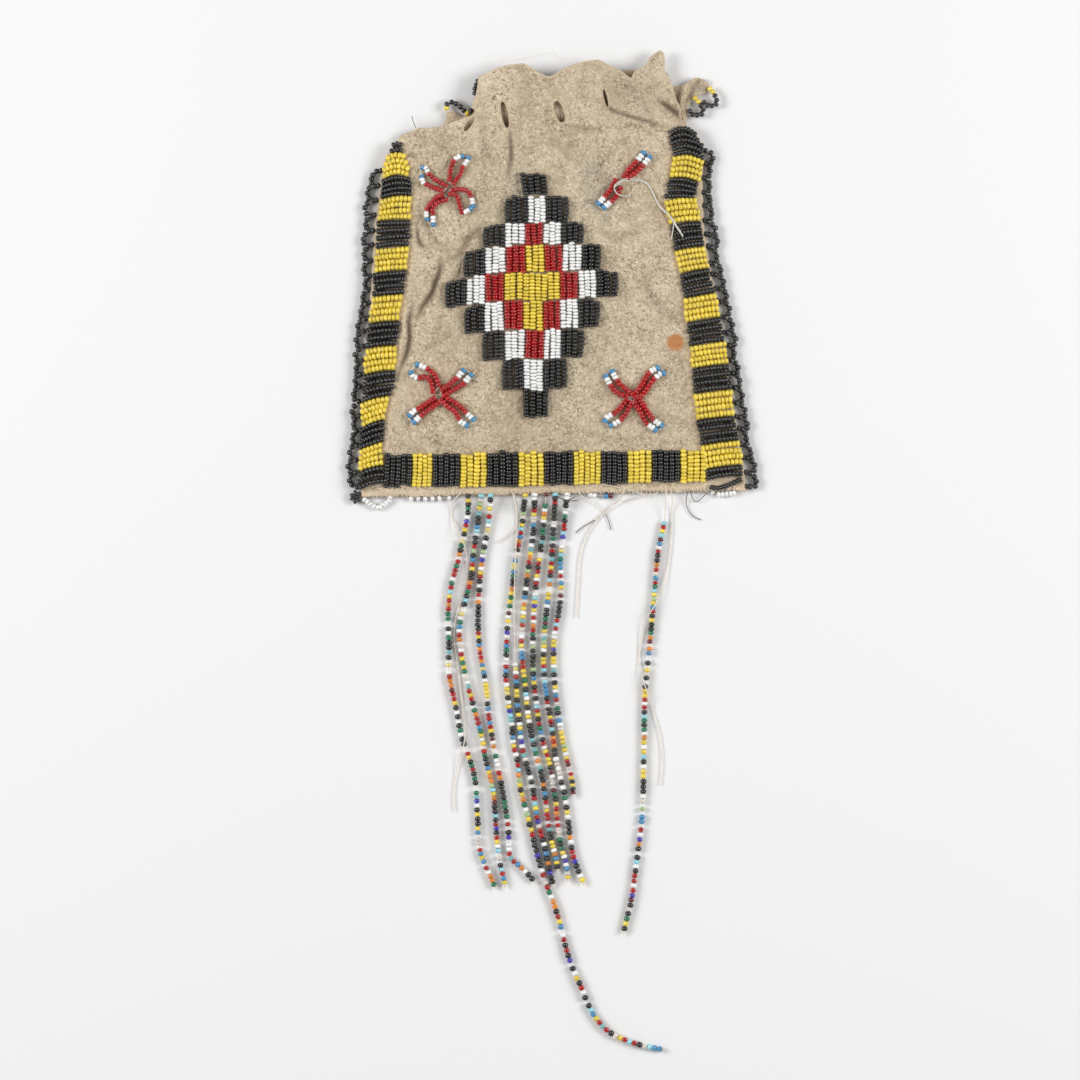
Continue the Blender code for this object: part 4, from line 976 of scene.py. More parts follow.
# %% Outline of the front and its drawstring slits
MOUTH_EDGE = route_of(
    (700, 140), (696, 132), (690, 128), (684.6, 125.3), (680.5, 117.6), (680.8, 111.2),
    (678.3, 104.8), (675.7, 97.8), (672.5, 89.5), (670, 81.9), (667.4, 76.1), (664.2, 73.6),
    (664.9, 65.9), (663.6, 53.8), (659.1, 50.6), (656, 53), (649.8, 58.4),
    (644.7, 66.5), (635.5, 70.6), (633, 75), (630.4, 80), (624, 74), (617, 69.6), (608, 65.5),
    (598.8, 60.4), (588, 61.5), (575, 64.5), (561.5, 70.7), (555.7, 74.7), (550, 77.6),
    (544.2, 76.4), (536.2, 71.8), (527, 66), (522.4, 64.7), (509.8, 65.5), (498.3, 68.4),
    (486.8, 74.1), (478.2, 77.6), (477.7, 84.4), (476, 96), (475.4, 104), (474.8, 114.3),
    (473, 116), (459.3, 121.2), (444.4, 126.4), (428.3, 129.2), (419.1, 128.1), (410, 132.7),
    (402, 135), (399.5, 138))
hem_x = np.linspace(-HALF_WIDTH + 0.3, HALF_WIDTH - 0.3, 140)
hem_y = bottom_line(hem_x) + 0.1 + 0.4 * waves(hem_x, 0.0, 2.3, 13)
front_outline = round_bag(np.column_stack((hem_x, hem_y)), 0.25, MOUTH_EDGE, 0.35, step=0.8,
                          ragged=0.16, seed=21)
SLIT_POINTS = 26


def slit(px, py, width, length, turn):
    """A slit in the hide about a pixel, as a ring of points, turned by some degrees."""
    angles = np.linspace(0.0, 2 * math.pi, SLIT_POINTS, endpoint=False)
    across = 0.5 * width * np.sign(np.sin(angles)) * np.abs(np.sin(angles)) ** 0.8
    along = 0.5 * length * np.cos(angles)
    c, s = math.cos(math.radians(turn)), math.sin(math.radians(turn))
    centre = at(px, py)
    return np.column_stack((centre[0] + across * c - along * s,
                            centre[1] + across * s + along * c))


SLITS = [slit(469.4, 125.2, 1.8, 5.8, -34.0), slit(504.9, 116, 2.1, 9.1, 11.0),
         slit(559.2, 113.1, 3.0, 7.5, 18.0), slit(605.4, 99.2, 1.1, 6.1, 13.0)]
print("points round the front:", len(front_outline), "slits:", len(SLITS))

# %% Marks painted on the front
# Where the side bands end towards the middle: rows of the photograph, and their columns
LEFT_BAND_INNER = (
    (143, 150, 156, 165, 187, 210, 235, 260, 285, 310, 335, 360, 385, 412, 435, 487),
    (401, 403, 405, 409, 412.5, 411, 410, 408.5, 406, 401, 399, 397, 395, 388, 384, 386))
RIGHT_BAND_INNER = (
    (130, 142, 156, 168, 180, 197, 216, 240, 268, 293, 332, 379, 430, 478),
    (671, 670, 673, 671, 669, 664.7, 668, 673, 678.5, 683, 688, 692, 698, 707))


# Soft round marks: pixel, radius and softness in millimetres, and strength
SMUDGES = ((594, 178, 4.5, 7.0, 0.5), (598, 205, 3.5, 6.0, 0.45), (518, 186, 4.0, 6.0, 0.45),
           (604, 220, 1.6, 2.0, 0.6))
# Broad patches of painted shade: top right, left shoulder and low in the middle
SHADES = ((632, 97, 9.0, 9.0, 0.22), (440, 143, 8.0, 8.0, 0.07), (540, 440, 14.0, 9.0, 0.07))
STAINS = ((675, 343, 2.9, 0.9, 0.85),)


def marked(x, y, spots):
    """How strongly soft round marks show at a place."""
    total = np.zeros(np.shape(x))
    for px, py, radius, soft, strength in spots:
        centre = at(px, py)
        away = np.hypot(x - centre[0], y - centre[1])
        total += strength * np.clip((radius - away) / soft + 0.5, 0.0, 1.0)
    return total


def front_paint(x, y, rim):
    """Painted shade in creases and broad patches with darker worn lines, smudges, stains, the pale
    cut edge and the rubbed strips beside the bands.
    """
    row, column = row_of(y), x / PIXEL + ORIGIN_COLUMN
    beside = PIXEL * np.minimum(column - np.interp(row, *LEFT_BAND_INNER),
                                np.interp(row, *RIGHT_BAND_INNER) - column)
    rubbed = 0.75 * np.exp(-((beside - 0.5) ** 2)) * (y < FOLD_Y)
    hem = np.clip((2.6 - (y - bottom_line(x))) / 1.5, 0.0, 1.0)
    # Painted shade in the creases and broad patches, plus darker worn lines and a darker line
    # along the cut edge
    crease = (0.75 * crease_depth(x, y)[0] + 0.25 * np.clip(0.6 - rim, 0.0, 1.0)
              + 0.35 * slack_lines(x, y, (5.5, 31), (9.0, 33), 0.06) + marked(x, y, SHADES))
    return {"crease": crease, "stain": marked(x, y, STAINS),
            "smudge": marked(x, y, SMUDGES) * (0.55 + 0.45 * waves(x, y, 2.2, 35)),
            "rim": np.maximum(0.7 * np.clip(0.9 - rim, 0.0, 1.0) + 0.7 * hem, rubbed)}


# %% Front hide over the bag and its mouth flap
NET_STEP, BACK_NET_STEP = 0.8, 1.2
front_hide = cut_sheet("front_hide", [front_outline] + SLITS, NET_STEP, front_height, hide_front,
                       front_paint)
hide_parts("front_panel", "front_mouth_flap")
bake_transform(front_hide)

# %% Back hide with its two ears
LEFT_EAR = route_of((398, 141), (420, 139), (440, 131), (446, 121), (447, 112), (453, 111),
                    (462, 117), (470, 115), (474, 100), (477, 91))
RIGHT_EAR = route_of((560, 84), (592, 72), (617, 76), (622, 70.5), (636, 70.5), (652, 64),
                     (668, 74), (672, 86), (677.6, 86.4), (684.6, 85.1), (688.5, 81.9),
                     (694.8, 78.1), (700, 78.4), (705.1, 80), (709.5, 86.4), (707.6, 92.7),
                     (702.5, 94), (697.4, 95.3), (691, 100.4), (688, 107.4), (687, 117),
                     (686, 128))
EAR_FOLD = route_of((686, 112), (688.5, 100.4), (691, 94), (692.3, 88.9), (695.5, 84.4),
                    (700.6, 80))
back_hem = np.column_stack((np.linspace(-HALF_WIDTH + 0.2, HALF_WIDTH - 0.2, 80),
                            bottom_line(np.linspace(-HALF_WIDTH, HALF_WIDTH, 80)) - 0.05))
back_mouth = np.vstack((RIGHT_EAR[::-1], route_of((520, 78), (500, 78)), LEFT_EAR[::-1]))
back_outline = round_bag(back_hem, 0.05, back_mouth, 0.15, step=1.0, ragged=0.12, seed=41)


def beyond_fold(x, y):
    """Signed distance to the right of the fold that runs up the right ear, and where it is."""
    away = x - np.interp(y, EAR_FOLD[:, 1], EAR_FOLD[:, 0])
    return away, np.clip((y - EAR_FOLD[0, 1]) / 3.0 + 1.0, 0.0, 1.0) * (x > EAR_FOLD[0, 0] - 6.0)


def back_height(x, y):
    """Height of the back's inner face: flat, with its ears curled up."""
    away, ear = beyond_fold(x, y)
    left, _ = distance_to(x, y, route_of((450, 127), (452, 118), (450, 113)))
    curl = ear * (2.7 * np.exp(-(((away + 1.9) / 1.5) ** 2))
                  + np.exp(-(((away - 2.3) / 1.5) ** 2)))
    curl = curl + 1.4 * np.exp(-((left / 2.2) ** 2)) * np.clip((y - FOLD_Y) / 5.0, 0.0, 1.0)
    middle = at(531, 113)
    lift = np.exp(-(((x - middle[0]) / 18.0) ** 4) - ((y - middle[1]) / 9.0) ** 2)
    return HIDE + curl + 5.4 * lift


def back_paint(x, y, rim):
    """Wear on the back, and painted shade along the fold and on the inner face of the right ear.
    """
    lines = slack_lines(x, y, (8.0, 51), (14.0, 53), 0.05)
    away, ear = beyond_fold(x, y)
    fold = ear * np.exp(-((away / 0.6) ** 2))
    # Painted shade: dark along the right ear's fold, greyer on its inner face beyond the fold
    return {"crease": 0.5 * lines + 0.9 * fold, "smudge": 0.4 * ear * (away > 0.0),
            "stain": 0.0 * x, "rim": np.clip(1.2 - rim, 0.0, 1.0) * 0.6}


back_hide = cut_sheet("back_hide", [back_outline], BACK_NET_STEP, back_height, hide_back,
                      back_paint)
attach(back_hide, "bag")
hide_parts("back_panel")

# %% [markdown]
# ## Beadwork on the front
#
# In lane stitch each row of beads is one run of thread from one edge of the lane to the other, a
# little longer than the lane is wide, so that the row stands up in a low hump.

# %% Rows of beads
# Length of thread that each colour takes in the side bands, the bottom band and the diamond
SIDE_BEAD, BOTTOM_BEAD = {"K": 1.24, "Y": 1.40}, {"K": 1.24, "Y": 1.38}
DIAMOND_BEAD = {"K": 1.24, "W": 1.12, "R": 1.02, "Y": 1.18}
ROW_SHARES = np.linspace(0.0, 1.0, 9)
CROWDING = 1.06
ROW_WOBBLE = 0.05
BAND_HUMP, LANE_HUMP, HEM_PRESS = 0.45, 0.5, 0.75
NARROWEST, WIDEST = 1.9, 2.3


def row_places(letters, counts, marks):
    """Each row's letter, its place and its pitch, for blocks of colour between marks."""
    for letter, count, start, end in zip(letters, counts, marks, marks[1:]):
        pitch = (end - start) / count
        for k in range(count):
            yield letter, start + (k + 0.5) * pitch, pitch


def lay_row(beading, letter, pixels, usual, wide, fill, hump, press=0.0):
    """One row of beads, with a hump in the middle and its first end pressed in."""
    run = on_front(route_of(*pixels))
    run[:, 2] += hump * np.sin(np.pi * ROW_SHARES) - press * (1.0 - ROW_SHARES) ** 2
    count = max(3, round(steps_of(run).sum() / usual[letter]))
    beading.string(run, letter * count, wide, fill, ROW_WOBBLE)


# %% Side bands
def lay_band(beading, counts, marks, edges, bends, seed):
    """Rows across a side band, black and yellow by turns down its length.

    The blocks of colour have counts of rows and lie between marks. Edges give a row of the
    photograph and the columns of a bead row's ends there; bends give its lean and bow.
    """
    rows = np.random.default_rng(seed)
    edges, bends = np.array(edges, float).T, np.array(bends, float).T
    for letter, place, pitch in row_places("KY" * len(counts), counts, marks):
        py = place + rows.normal(0.0, 0.15)
        start = np.interp(py, edges[0], edges[1]) + rows.normal(0.0, 0.6)
        end = np.interp(py, edges[0], edges[2]) + rows.normal(0.0, 0.6)
        lean = np.interp(py, bends[0], bends[1]) + rows.normal(0.0, 0.3)
        bow = np.interp(py, bends[0], bends[2]) + rows.normal(0.0, 0.3)
        pixels = [(start + s * (end - start),
                   py + lean * (0.5 - s) + bow * (math.sin(math.pi * s) - 0.6))
                  for s in ROW_SHARES]
        wide = min(max(pitch * PIXEL * CROWDING, NARROWEST), WIDEST)
        lay_row(beading, letter, pixels, SIDE_BEAD, wide, 0.96, BAND_HUMP)


left_band = Beading("left_band_rows")
lay_band(left_band, (2, 4, 4, 4, 4, 4, 4, 4, 4, 4, 4, 4, 4, 4, 3),
         (142.5, 154, 177, 197.5, 220.5, 248, 271.5, 296, 322, 347, 372, 399, 423, 446, 468, 486),
         ((143, 394, 401), (150, 390.5, 403), (156, 387, 405), (165, 384, 409), (187, 382, 412.5),
          (210, 379, 411), (235, 376.5, 410), (260, 375, 408.5), (285, 373.5, 406),
          (310, 370, 401), (335, 368, 399), (360, 365, 397), (385, 362.5, 395), (412, 361, 388),
          (435, 360, 384), (460, 359, 383), (487, 359, 386)),
         ((143, 0, -1), (160, 1.5, -4), (175, 1.5, -4), (190, 2.5, -2), (205, 3, -2),
          (220, 1, -0.5), (250, 2.5, -0.5), (300, 2.5, -0.5), (340, 3, -0.8), (370, 4.5, -0.8),
          (400, 7, -1), (415, 9, -1), (435, 9, -1.5), (450, 8, -1), (470, 7, -1.5),
          (490, 8, -3)), 61)
left_band.make("left_side_band", slot="band_beads")

right_band = Beading("right_band_rows")
lay_band(right_band, (5, 4, 4, 4, 4, 4, 4, 4, 4, 4, 4, 4, 4, 4, 2),
         (129, 157, 179, 199, 223, 249, 271, 296, 320, 344, 366, 392, 418, 443, 466.5, 478),
         ((130, 671, 695), (135, 670, 699), (142, 670, 702), (150, 672, 703), (156, 673, 703.5),
          (168, 671, 702), (180, 669, 699.5), (188, 667, 696), (197, 664.7, 695),
          (204, 665, 696), (216, 668, 700), (226, 670, 700), (240, 673, 703), (252, 674, 704),
          (268, 678.5, 709), (275, 680, 709.5), (293, 683, 713.5), (307, 683.5, 719),
          (332, 688, 722), (355, 690, 727), (379, 692, 730), (405, 694, 733), (430, 698, 736),
          (455, 704, 742), (478, 707, 743)),
         ((130, -1, -6), (142, -2, -5), (155, -3, -4.5), (168, -4, -3.5), (185, -4, -2),
          (195, 0, -1.5), (205, 4, -1), (235, 5, -1.2), (258, 5.5, -0.6), (280, 6.5, -0.6),
          (300, 6, -0.6), (400, 5, -0.6), (478, 4.6, -0.6)), 62)
stray = smooth(route_of((709.5, 486.5), (715, 488.5), (722, 487.5), (731, 484), (742, 479)), 1.0)
right_band.string(on_front(stray), "K" * 10, width=2.0, fill=0.97, wobble=ROW_WOBBLE)
right_band.make("right_side_band", slot="band_beads")

# %% Bottom band
bottom_band = Beading("bottom_band_rows")
counts = (5, 4, 5, 4, 5, 4, 5, 5, 5, 4, 5, 4)
marks = (384, 412, 432.5, 460, 486.5, 518, 543.5, 573, 600.5, 627, 651, 680, 706)
rows = np.random.default_rng(63)
for letter, place, pitch in row_places("KY" * len(counts), counts, marks):
    px = place + rows.normal(0.0, 0.15)
    low = np.interp(px, (384, 480, 707), (485.9, 486.6, 480.8)) + rows.normal(0.0, 0.7)
    high = np.interp(px, (384, 707), (454.5, 450.0)) + rows.normal(0.0, 0.9)
    lean = 2.2 * math.exp(-((px - 384) / 40.0)) + rows.normal(0.0, 0.5)
    pixels = [(px - lean * (0.5 - s) + 0.5 * math.sin(math.pi * s), low + s * (high - low))
              for s in ROW_SHARES]
    # The ends by the hem are pressed in: strands that swing up pass over them
    lay_row(bottom_band, letter, pixels, BOTTOM_BEAD, pitch * PIXEL * CROWDING, 1.0, BAND_HUMP,
            HEM_PRESS)
bottom_band.make("bottom_band", slot="band_beads")

# %% Stepped diamond in nine lanes
# Top and bottom of each lane on the photograph, its blocks of colour from the left with their
# counts of rows, and the columns that they lie between
LANES = (
    (174.5, 196.5, "K", (4,), (521.5, 547)),
    (196.5, 224.5, "KWK", (4, 3, 4), (506, 528, 546, 568)),
    (223.5, 246.5, "KWRWK", (4, 3, 3, 3, 4), (484, 505, 525, 543, 561.5, 583)),
    (246, 273.5, "KWRYRWK", (4, 3, 3, 3, 3, 3, 3), (465, 485.5, 506, 526, 544.5, 562, 581, 600)),
    (273, 301.5, "KWRYRWK", (4, 3, 3, 9, 3, 3, 3), (446, 467, 485.5, 504, 560, 578, 596, 616.5)),
    (301, 330.5, "KWRYRWK", (3, 3, 3, 3, 3, 3, 4),
     (465.5, 485, 504, 523, 543, 560, 578, 598.5)),
    (330, 360, "KWRWK", (4, 3, 3, 3, 4), (483, 504.5, 525, 544, 560.5, 583)),
    (359, 391, "KWK", (4, 3, 4), (502.5, 523.5, 544, 566.5)),
    (390, 418.5, "K", (4,), (523, 548.5)))
rows = np.random.default_rng(64)
for number, (top, bottom, letters, counts, marks) in enumerate(LANES, start=1):
    lane = Beading(f"diamond_lane_{number}_rows")
    middle, half = 0.5 * (marks[0] + marks[-1]), 0.5 * (marks[-1] - marks[0])
    for letter, place, pitch in row_places(letters, counts, marks):
        px = place + rows.normal(0.0, 0.25)
        side = (px - middle) / half
        droop = 8.0 * np.clip((515 - px) / 69.0, 0.0, 1.2) ** 1.4
        droop -= 3.0 * np.clip((px - 545) / 70.0, 0.0, 1.0)
        bulge = 2.0 * np.sign(side) * max(0.0, abs(side) - 0.7) / 0.3 + rows.normal(0.0, 0.35)
        worn_top, worn_bottom = rows.normal(0.0, 0.8, 2)
        short = 2.6 * max(0.0, abs(side) - 0.8) / 0.2
        lean = rows.normal(0.0, 0.8) + (2.5 if number == 1 else 0.0)
        high, low = top + droop + 0.8 + short + worn_top, bottom + droop - 0.8 + worn_bottom
        pixels = [(px + bulge * math.sin(math.pi * s) + lean * (s - 0.5),
                   high + s * (low - high)) for s in ROW_SHARES]
        lay_row(lane, letter, pixels, DIAMOND_BEAD, pitch * PIXEL * CROWDING, 0.96, LANE_HUMP)
    lane.make(f"diamond_lane_{number}", slot="diamond_beads")

# %% Crosses, each arm two rows side by side
# Pixels of each row from the middle of the motif out to its blue tip
MOTIF_ROWS = {
    "upper_left_star": (
        ((446.5, 187), (438, 182.5), (429.5, 175.5), (426, 169), (422.5, 168.5)),
        ((442.5, 192), (434.5, 189), (426.5, 185.5), (423.5, 184), (422.5, 181), (422, 177.5)),
        ((443, 196), (436, 199), (430, 205.5), (427.5, 209.5), (426.5, 214), (427.5, 220.5)),
        ((447, 201), (438.5, 203.5), (433, 209.5), (433.5, 218), (433.5, 226)),
        ((449.5, 181.5), (450.5, 171.5), (454, 162), (458.5, 158), (463, 157.5)),
        ((454, 185), (460, 176.5), (463, 169), (467.5, 162), (469, 159)),
        ((452.5, 191), (463, 190.5), (469, 193), (472, 199.5), (473.5, 207.5)),
        ((450, 195.5), (454.5, 195), (458, 199), (461, 210), (462.5, 214), (468.5, 211.5),
         (471.5, 209.5))),
    "upper_right_bar": (
        ((623.5, 178), (628.5, 170.5), (636, 163), (641, 157), (643.5, 154)),
        ((627.5, 179), (634.5, 174.5), (642.5, 166.5), (647, 161), (649.5, 158)),
        ((615.5, 181.5), (610, 191), (603.5, 199), (598, 205)),
        ((620.5, 189), (616, 198), (610, 203.5), (603.5, 209))),
    "lower_left_cross": (
        ((439, 385.5), (437, 378.5), (432, 372), (424, 367.5), (417.5, 365)),
        ((433.5, 392.5), (431.5, 383.5), (426.5, 377.5), (418, 378.5), (414, 377.5),
         (411.5, 373)),
        ((442, 390.5), (451, 384), (458, 377.5), (464, 371)),
        ((444, 396), (452.5, 391), (462.5, 385.5), (469, 378), (471.5, 375.5)),
        ((435, 398.5), (427.5, 403.5), (419.5, 409), (413.5, 411.5), (410, 416.5)),
        ((440, 402.5), (431.5, 408.5), (423.5, 414.5), (417, 419.5), (414, 422.5)),
        ((447.5, 399), (458, 405), (465, 411.5), (470.5, 417), (474, 420)),
        ((441, 400.5), (448.5, 407.5), (456.5, 413.5), (460, 421.5), (463.5, 424),
         (467.5, 426))),
    "lower_right_cross": (
        ((635, 397.5), (629, 392.5), (623.5, 388), (619.5, 384.5), (615.5, 378.5),
         (611.5, 371.5)),
        ((626.5, 397), (617, 393.5), (613, 390), (610.5, 386), (607, 380), (605.5, 376.5)),
        ((636, 392.5), (641.5, 385), (647.5, 374.5), (654, 370), (657.5, 368.5)),
        ((641.5, 396), (646.5, 390), (652.5, 380.5), (659.5, 374.5), (663.5, 373.5)),
        ((626.5, 400), (621.5, 406.5), (615.5, 413), (607, 417.5), (605, 421.5)),
        ((631.5, 403), (628, 410.5), (621.5, 419.5), (614.5, 424), (610.5, 426)),
        ((638.5, 398), (645.5, 409.5), (651.5, 418.5), (658, 424), (661.5, 426)),
        ((634, 403), (640, 412.5), (644.5, 422), (651, 427), (655.5, 430.5)))}
TIP, TIP_LENGTH, HALF_BEAD = "WWB", 3.8, 0.6
for node, motif in MOTIF_ROWS.items():
    beading = Beading(node + "_rows", white_thread, 0.35)
    pitch, wide = (1.22, 1.95) if node == "upper_left_star" else (1.32, 2.25)
    runs = []
    for pixels in motif:
        run = smooth(route_of(*pixels), 1.0)
        inner, outer = run[0] - run[1], run[-1] - run[-2]
        run = on_front(np.vstack((run[0] + inner * HALF_BEAD / np.linalg.norm(inner), run,
                                  run[-1] + outer * HALF_BEAD / np.linalg.norm(outer))))
        count = round((steps_of(run).sum() - TIP_LENGTH) / pitch)
        beading.string(run, "R" * count + TIP, wide, fill=1.0, wobble=0.06)
        runs.append(run)
    for first, second in zip(runs[::2], runs[1::2]):
        beading.thread((first[-1], second[-1]))
        beading.thread((first[0], second[0]))
    beading.make(node, slot="motif_beads")

# %% [markdown]
# ## Edgings, trims and threads
#
# Loops of black beads stand out along both side seams, a few at a time slipped together. White
# beads edge the bottom seam where they are left, and loose ends of sewing thread lie where the
# strands were stitched on.

# %% Looped edgings down the side seams
# Pitch down the seam and reach out from it in pixels of the photograph, heights in millimetres
LOOP_PITCH, JOINT_REACH, CREST_REACH, CREST_HALF = 14.2, 5.8, 10.0, 4.2
SEAM_REACH, SEAM_HEIGHT, JOINT_HEIGHT, CREST_HEIGHT = -2.0, 2.05, 1.35, 1.15
EDGE_BEAD = 2.08
CLUMP_REACH = 26.0


def edging(name, node, edge, outward, top, bottom, clump, seed):
    """Scalloped loops of black beads: two beads out from the seam, then three to the next two."""
    play = np.random.default_rng(seed)
    beading = Beading(name, white_thread, 0.3)

    def run(points, letters):
        rows, reach, z = np.array(points, float).T
        y = (ORIGIN_ROW - rows) * PIXEL
        route = np.column_stack((edge(y) + outward * reach * PIXEL, y, z))
        beading.string(smooth(route, 0.5), letters, EDGE_BEAD, fill=1.0, wobble=0.12)

    row, joint = top, None
    while row < bottom:
        close = 1.0 - 0.4 * math.exp(-(((row - clump) / CLUMP_REACH) ** 2))
        here = (row + play.normal(0.0, 0.9), close * (JOINT_REACH + play.normal(0.0, 0.6)),
                JOINT_HEIGHT + play.uniform(0.0, 0.25))
        if joint:
            crest = close * (CREST_REACH + play.normal(0.0, 1.1))
            middle = 0.5 * (joint[0] + here[0]) + play.normal(0.0, 1.2)
            height = CREST_HEIGHT + abs(play.normal(0.0, 0.25))
            run(((joint[0] + 1.0, joint[1] + 1.0, joint[2]),
                 (middle - CREST_HALF, crest - 1.0, height), (middle + 0.3, crest, height),
                 (middle + CREST_HALF, crest - 1.2, height),
                 (here[0] - 1.0, here[1] + 1.0, here[2])), "KKK")
        run(((here[0] - 1.6, SEAM_REACH, SEAM_HEIGHT), here), "KK")
        joint = here
        row += LOOP_PITCH * play.uniform(0.92, 1.08)
    beading.make(node, slot="black_beads")


edging("left_edging", "left_side_edging", left_edge, -1.0, 172, 497, 290, 71)
edging("right_edging", "right_side_edging", right_edge, 1.0, 152, 488, 196, 72)

# %% Ring of beads at the lower left corner
RING_COLUMN, RING_ROW, RING_RADIUS, RING_HEIGHT = 356.0, 497.0, 4.0, 1.3
corner = Beading("corner_ring")
ring = route_of(*[(RING_COLUMN + RING_RADIUS * math.cos(a), RING_ROW + RING_RADIUS * math.sin(a))
                  for a in np.linspace(0.3, 5.9, 18)])
corner.string(np.column_stack((ring, np.full(len(ring), RING_HEIGHT))), "K" * 6, width=2.1,
              fill=0.97, wobble=0.1)
corner.make(slot="black_beads")


# %% Bead trims at the mouth and the hem
def lay_flat(node, pixels, letters, height, look, slot):
    """Beads on a smooth thread at one height; a look is their width, fill and wobble."""
    flat = smooth(route_of(*pixels), 0.8)
    beading = Beading(node + "_string")
    beading.string(np.column_stack((flat, np.full(len(flat), height))), letters, *look)
    beading.make(node, slot=slot)


TRIM_LOOK, HEM_LOOK = (1.95, 0.94, 0.08), (2.1, 0.95, 0.10)
HEM_BEAD_HEIGHT = 1.1
TRIMS = {
    "left_ear_loop": (((447.5, 111), (446, 106.5), (450, 102.5), (455, 103.5), (459, 106),
                       (463, 110), (468, 114), (472.5, 109)), "YKKKKKYK", 2.2),
    "left_mouth_beads": (((474.8, 96), (475, 91), (476, 86), (479, 79.5)), "KKKK", 2.4),
    "right_ear_loop_upper": (((708.5, 87.5), (713.3, 93.4), (715.3, 97.2), (716.8, 101.3),
                              (715.3, 105.2), (710.8, 106.3), (706.6, 105.5), (702.5, 101)),
                             "YYKKKKKK", 2.1),
    "right_ear_loop_lower": (((693.3, 97), (698.7, 102.3), (701.5, 107), (703.1, 110.9),
                              (700.3, 115.7), (695.5, 115.4), (691.3, 114.7), (688.8, 109.3)),
                             "YYKKKKKK", 2.1)}
for node, (pixels, letters, height) in TRIMS.items():
    lay_flat(node, pixels, letters, height, TRIM_LOOK, "black_beads")

EDGING_RUNS = (
    ("bottom_edging_left", ((363, 498), (367.2, 501.7), (370.8, 504.4), (374.4, 506.6),
                            (378.4, 507.9), (382, 506.6), (385.1, 503.5), (389.1, 502),
                            (390, 499), (390, 495.5)), "WWWWWWWWWW"),
    ("bottom_edging_left", ((409, 498.3), (430, 498.2), (451, 498)), "W-W-W-W-W--W"),
    ("bottom_edging_middle", ((588, 494), (597, 495), (606, 496), (613, 495)), "WW--BM"),
    ("bottom_edging_right", ((711, 491), (716, 493.8), (722, 494.5), (730, 493.2), (736, 492.5)),
     "W-WWWWW"))
for node, pixels, letters in EDGING_RUNS:
    lay_flat(node, pixels, letters, HEM_BEAD_HEIGHT, HEM_LOOK, "white_beads")

# %% Threads of the worn cross and short ends at the hem and the mouth
def lay_thread(name, pixels, heights, material, width, over=False):
    """A thread through pixels, with its heights along the way, over the hide or the table."""
    flat = smooth(route_of(*pixels), 0.7)
    z = np.interp(np.linspace(0.0, 1.0, len(flat)), np.linspace(0.0, 1.0, len(heights)), heights)
    if over:
        z += front_height(flat[:, 0], flat[:, 1])
    bit = Beading(name, material, width)
    bit.thread(np.column_stack((flat, z)))
    bit.make(slot="thread")


BAR_THREAD = ((630.8, 196), (625.7, 197.6), (620, 196.7), (615.5, 193.5), (614.2, 187.1),
              (621.9, 181.4), (629.5, 179.8), (635.9, 180.1), (642.3, 181.4), (647.4, 184.5),
              (650.6, 189.6), (653.1, 194.7), (657.6, 203.7), (661.4, 208.8), (667.2, 213.9),
              (672.3, 220.3), (674.8, 224.7), (679.3, 231.1), (682.5, 236.2))
BAR_LIFTS = (0.5, 1.6, 2.3, 2.4, 2.4, 2.3, 1.6, 0.6, 0.4, 0.3, 0.3, 0.3, 0.3, 0.4, 1.4, 2.2, 2.3,
             2.3, 2.3)
lay_thread("bar_thread_a", BAR_THREAD, BAR_LIFTS, white_thread, 0.42, True)
lay_thread("bar_thread_b", [(x - 0.4 if x < 620 else x, y + 1.6) for x, y in BAR_THREAD[4:]],
           BAR_LIFTS[4:], white_thread, 0.42, True)
lay_thread("bar_thread_c", ((673.5, 224.1), (672.3, 232.4), (671, 240.7)), (2.3, 2.3, 2.3),
           white_thread, 0.36, True)
# Each end: its pixels, its heights along the way, and its thread
HEM_ENDS = (
    (((513, 492), (517, 504), (517, 516), (515.5, 527), (508, 536), (497, 543)),
     (3.0, 0.8, 0.3, 0.3, 0.3, 0.3), pale_thread),
    (((577.3, 490.6), (582, 496), (592, 501), (602, 509), (606, 514)),
     (3.0, 1.6, 0.8, 0.5, 0.4), pale_thread),
    (((624, 491.5), (620, 500), (611, 506.5), (604, 512.5), (595, 520)),
     (3.0, 1.4, 0.8, 0.9, 0.3), pale_thread),
    (((687.6, 491.5), (686, 502), (688.5, 510), (693, 516), (701, 520)),
     (3.0, 0.6, 0.3, 0.3, 0.3), dark_thread),
    (((690.5, 491.5), (692, 497), (695, 501.5), (700, 500), (706.5, 493)),
     (3.0, 0.8, 0.9, 1.2, 1.0), dark_thread),
    (((585, 493), (586.5, 489.5), (601, 485), (616, 487), (630, 490), (645, 494.6), (655, 494.5),
      (657, 492)), (2.0, 3.2, 3.7, 3.6, 3.2, 2.2, 2.2, 2.6), pale_thread),
    (((624, 501.5), (632, 499), (641, 496.5), (650, 495.5), (656, 494)),
     (0.4, 0.6, 1.2, 1.8, 2.4), white_thread),
    (((606, 514), (609, 522), (611, 530)), (0.4, 0.3, 0.3), dark_thread),
    (((595, 520), (583, 527), (576, 533)), (0.3, 0.3, 0.3), dark_thread),
    (((556, 496), (563, 499), (569, 499.5), (575, 497)), (1.0, 1.6, 2.4, 1.0), dark_thread),
    (((568, 499.5), (573, 500.5), (578, 500.5)), (2.4, 0.8, 0.4), dark_thread))
for number, (pixels, heights, material) in enumerate(HEM_ENDS, start=1):
    lay_thread(f"hem_end_{number}", pixels, heights, material, 0.3)
MOUTH_HAIRS = (
    (((412, 116), (413, 121), (416, 128)), (1.6, 1.6, 3.2), dark_thread, 0.25),
    (((500, 62), (521, 60), (540, 56), (553, 54), (566, 64)), (5.0, 6.0, 6.4, 6.0, 6.0),
     pale_thread, 0.22),
    (((619, 71), (624, 75), (632, 81)), (6.0, 6.2, 6.0), white_thread, 0.4))
for number, hair in enumerate(MOUTH_HAIRS, start=1):
    lay_thread(f"mouth_hair_{number}", *hair)

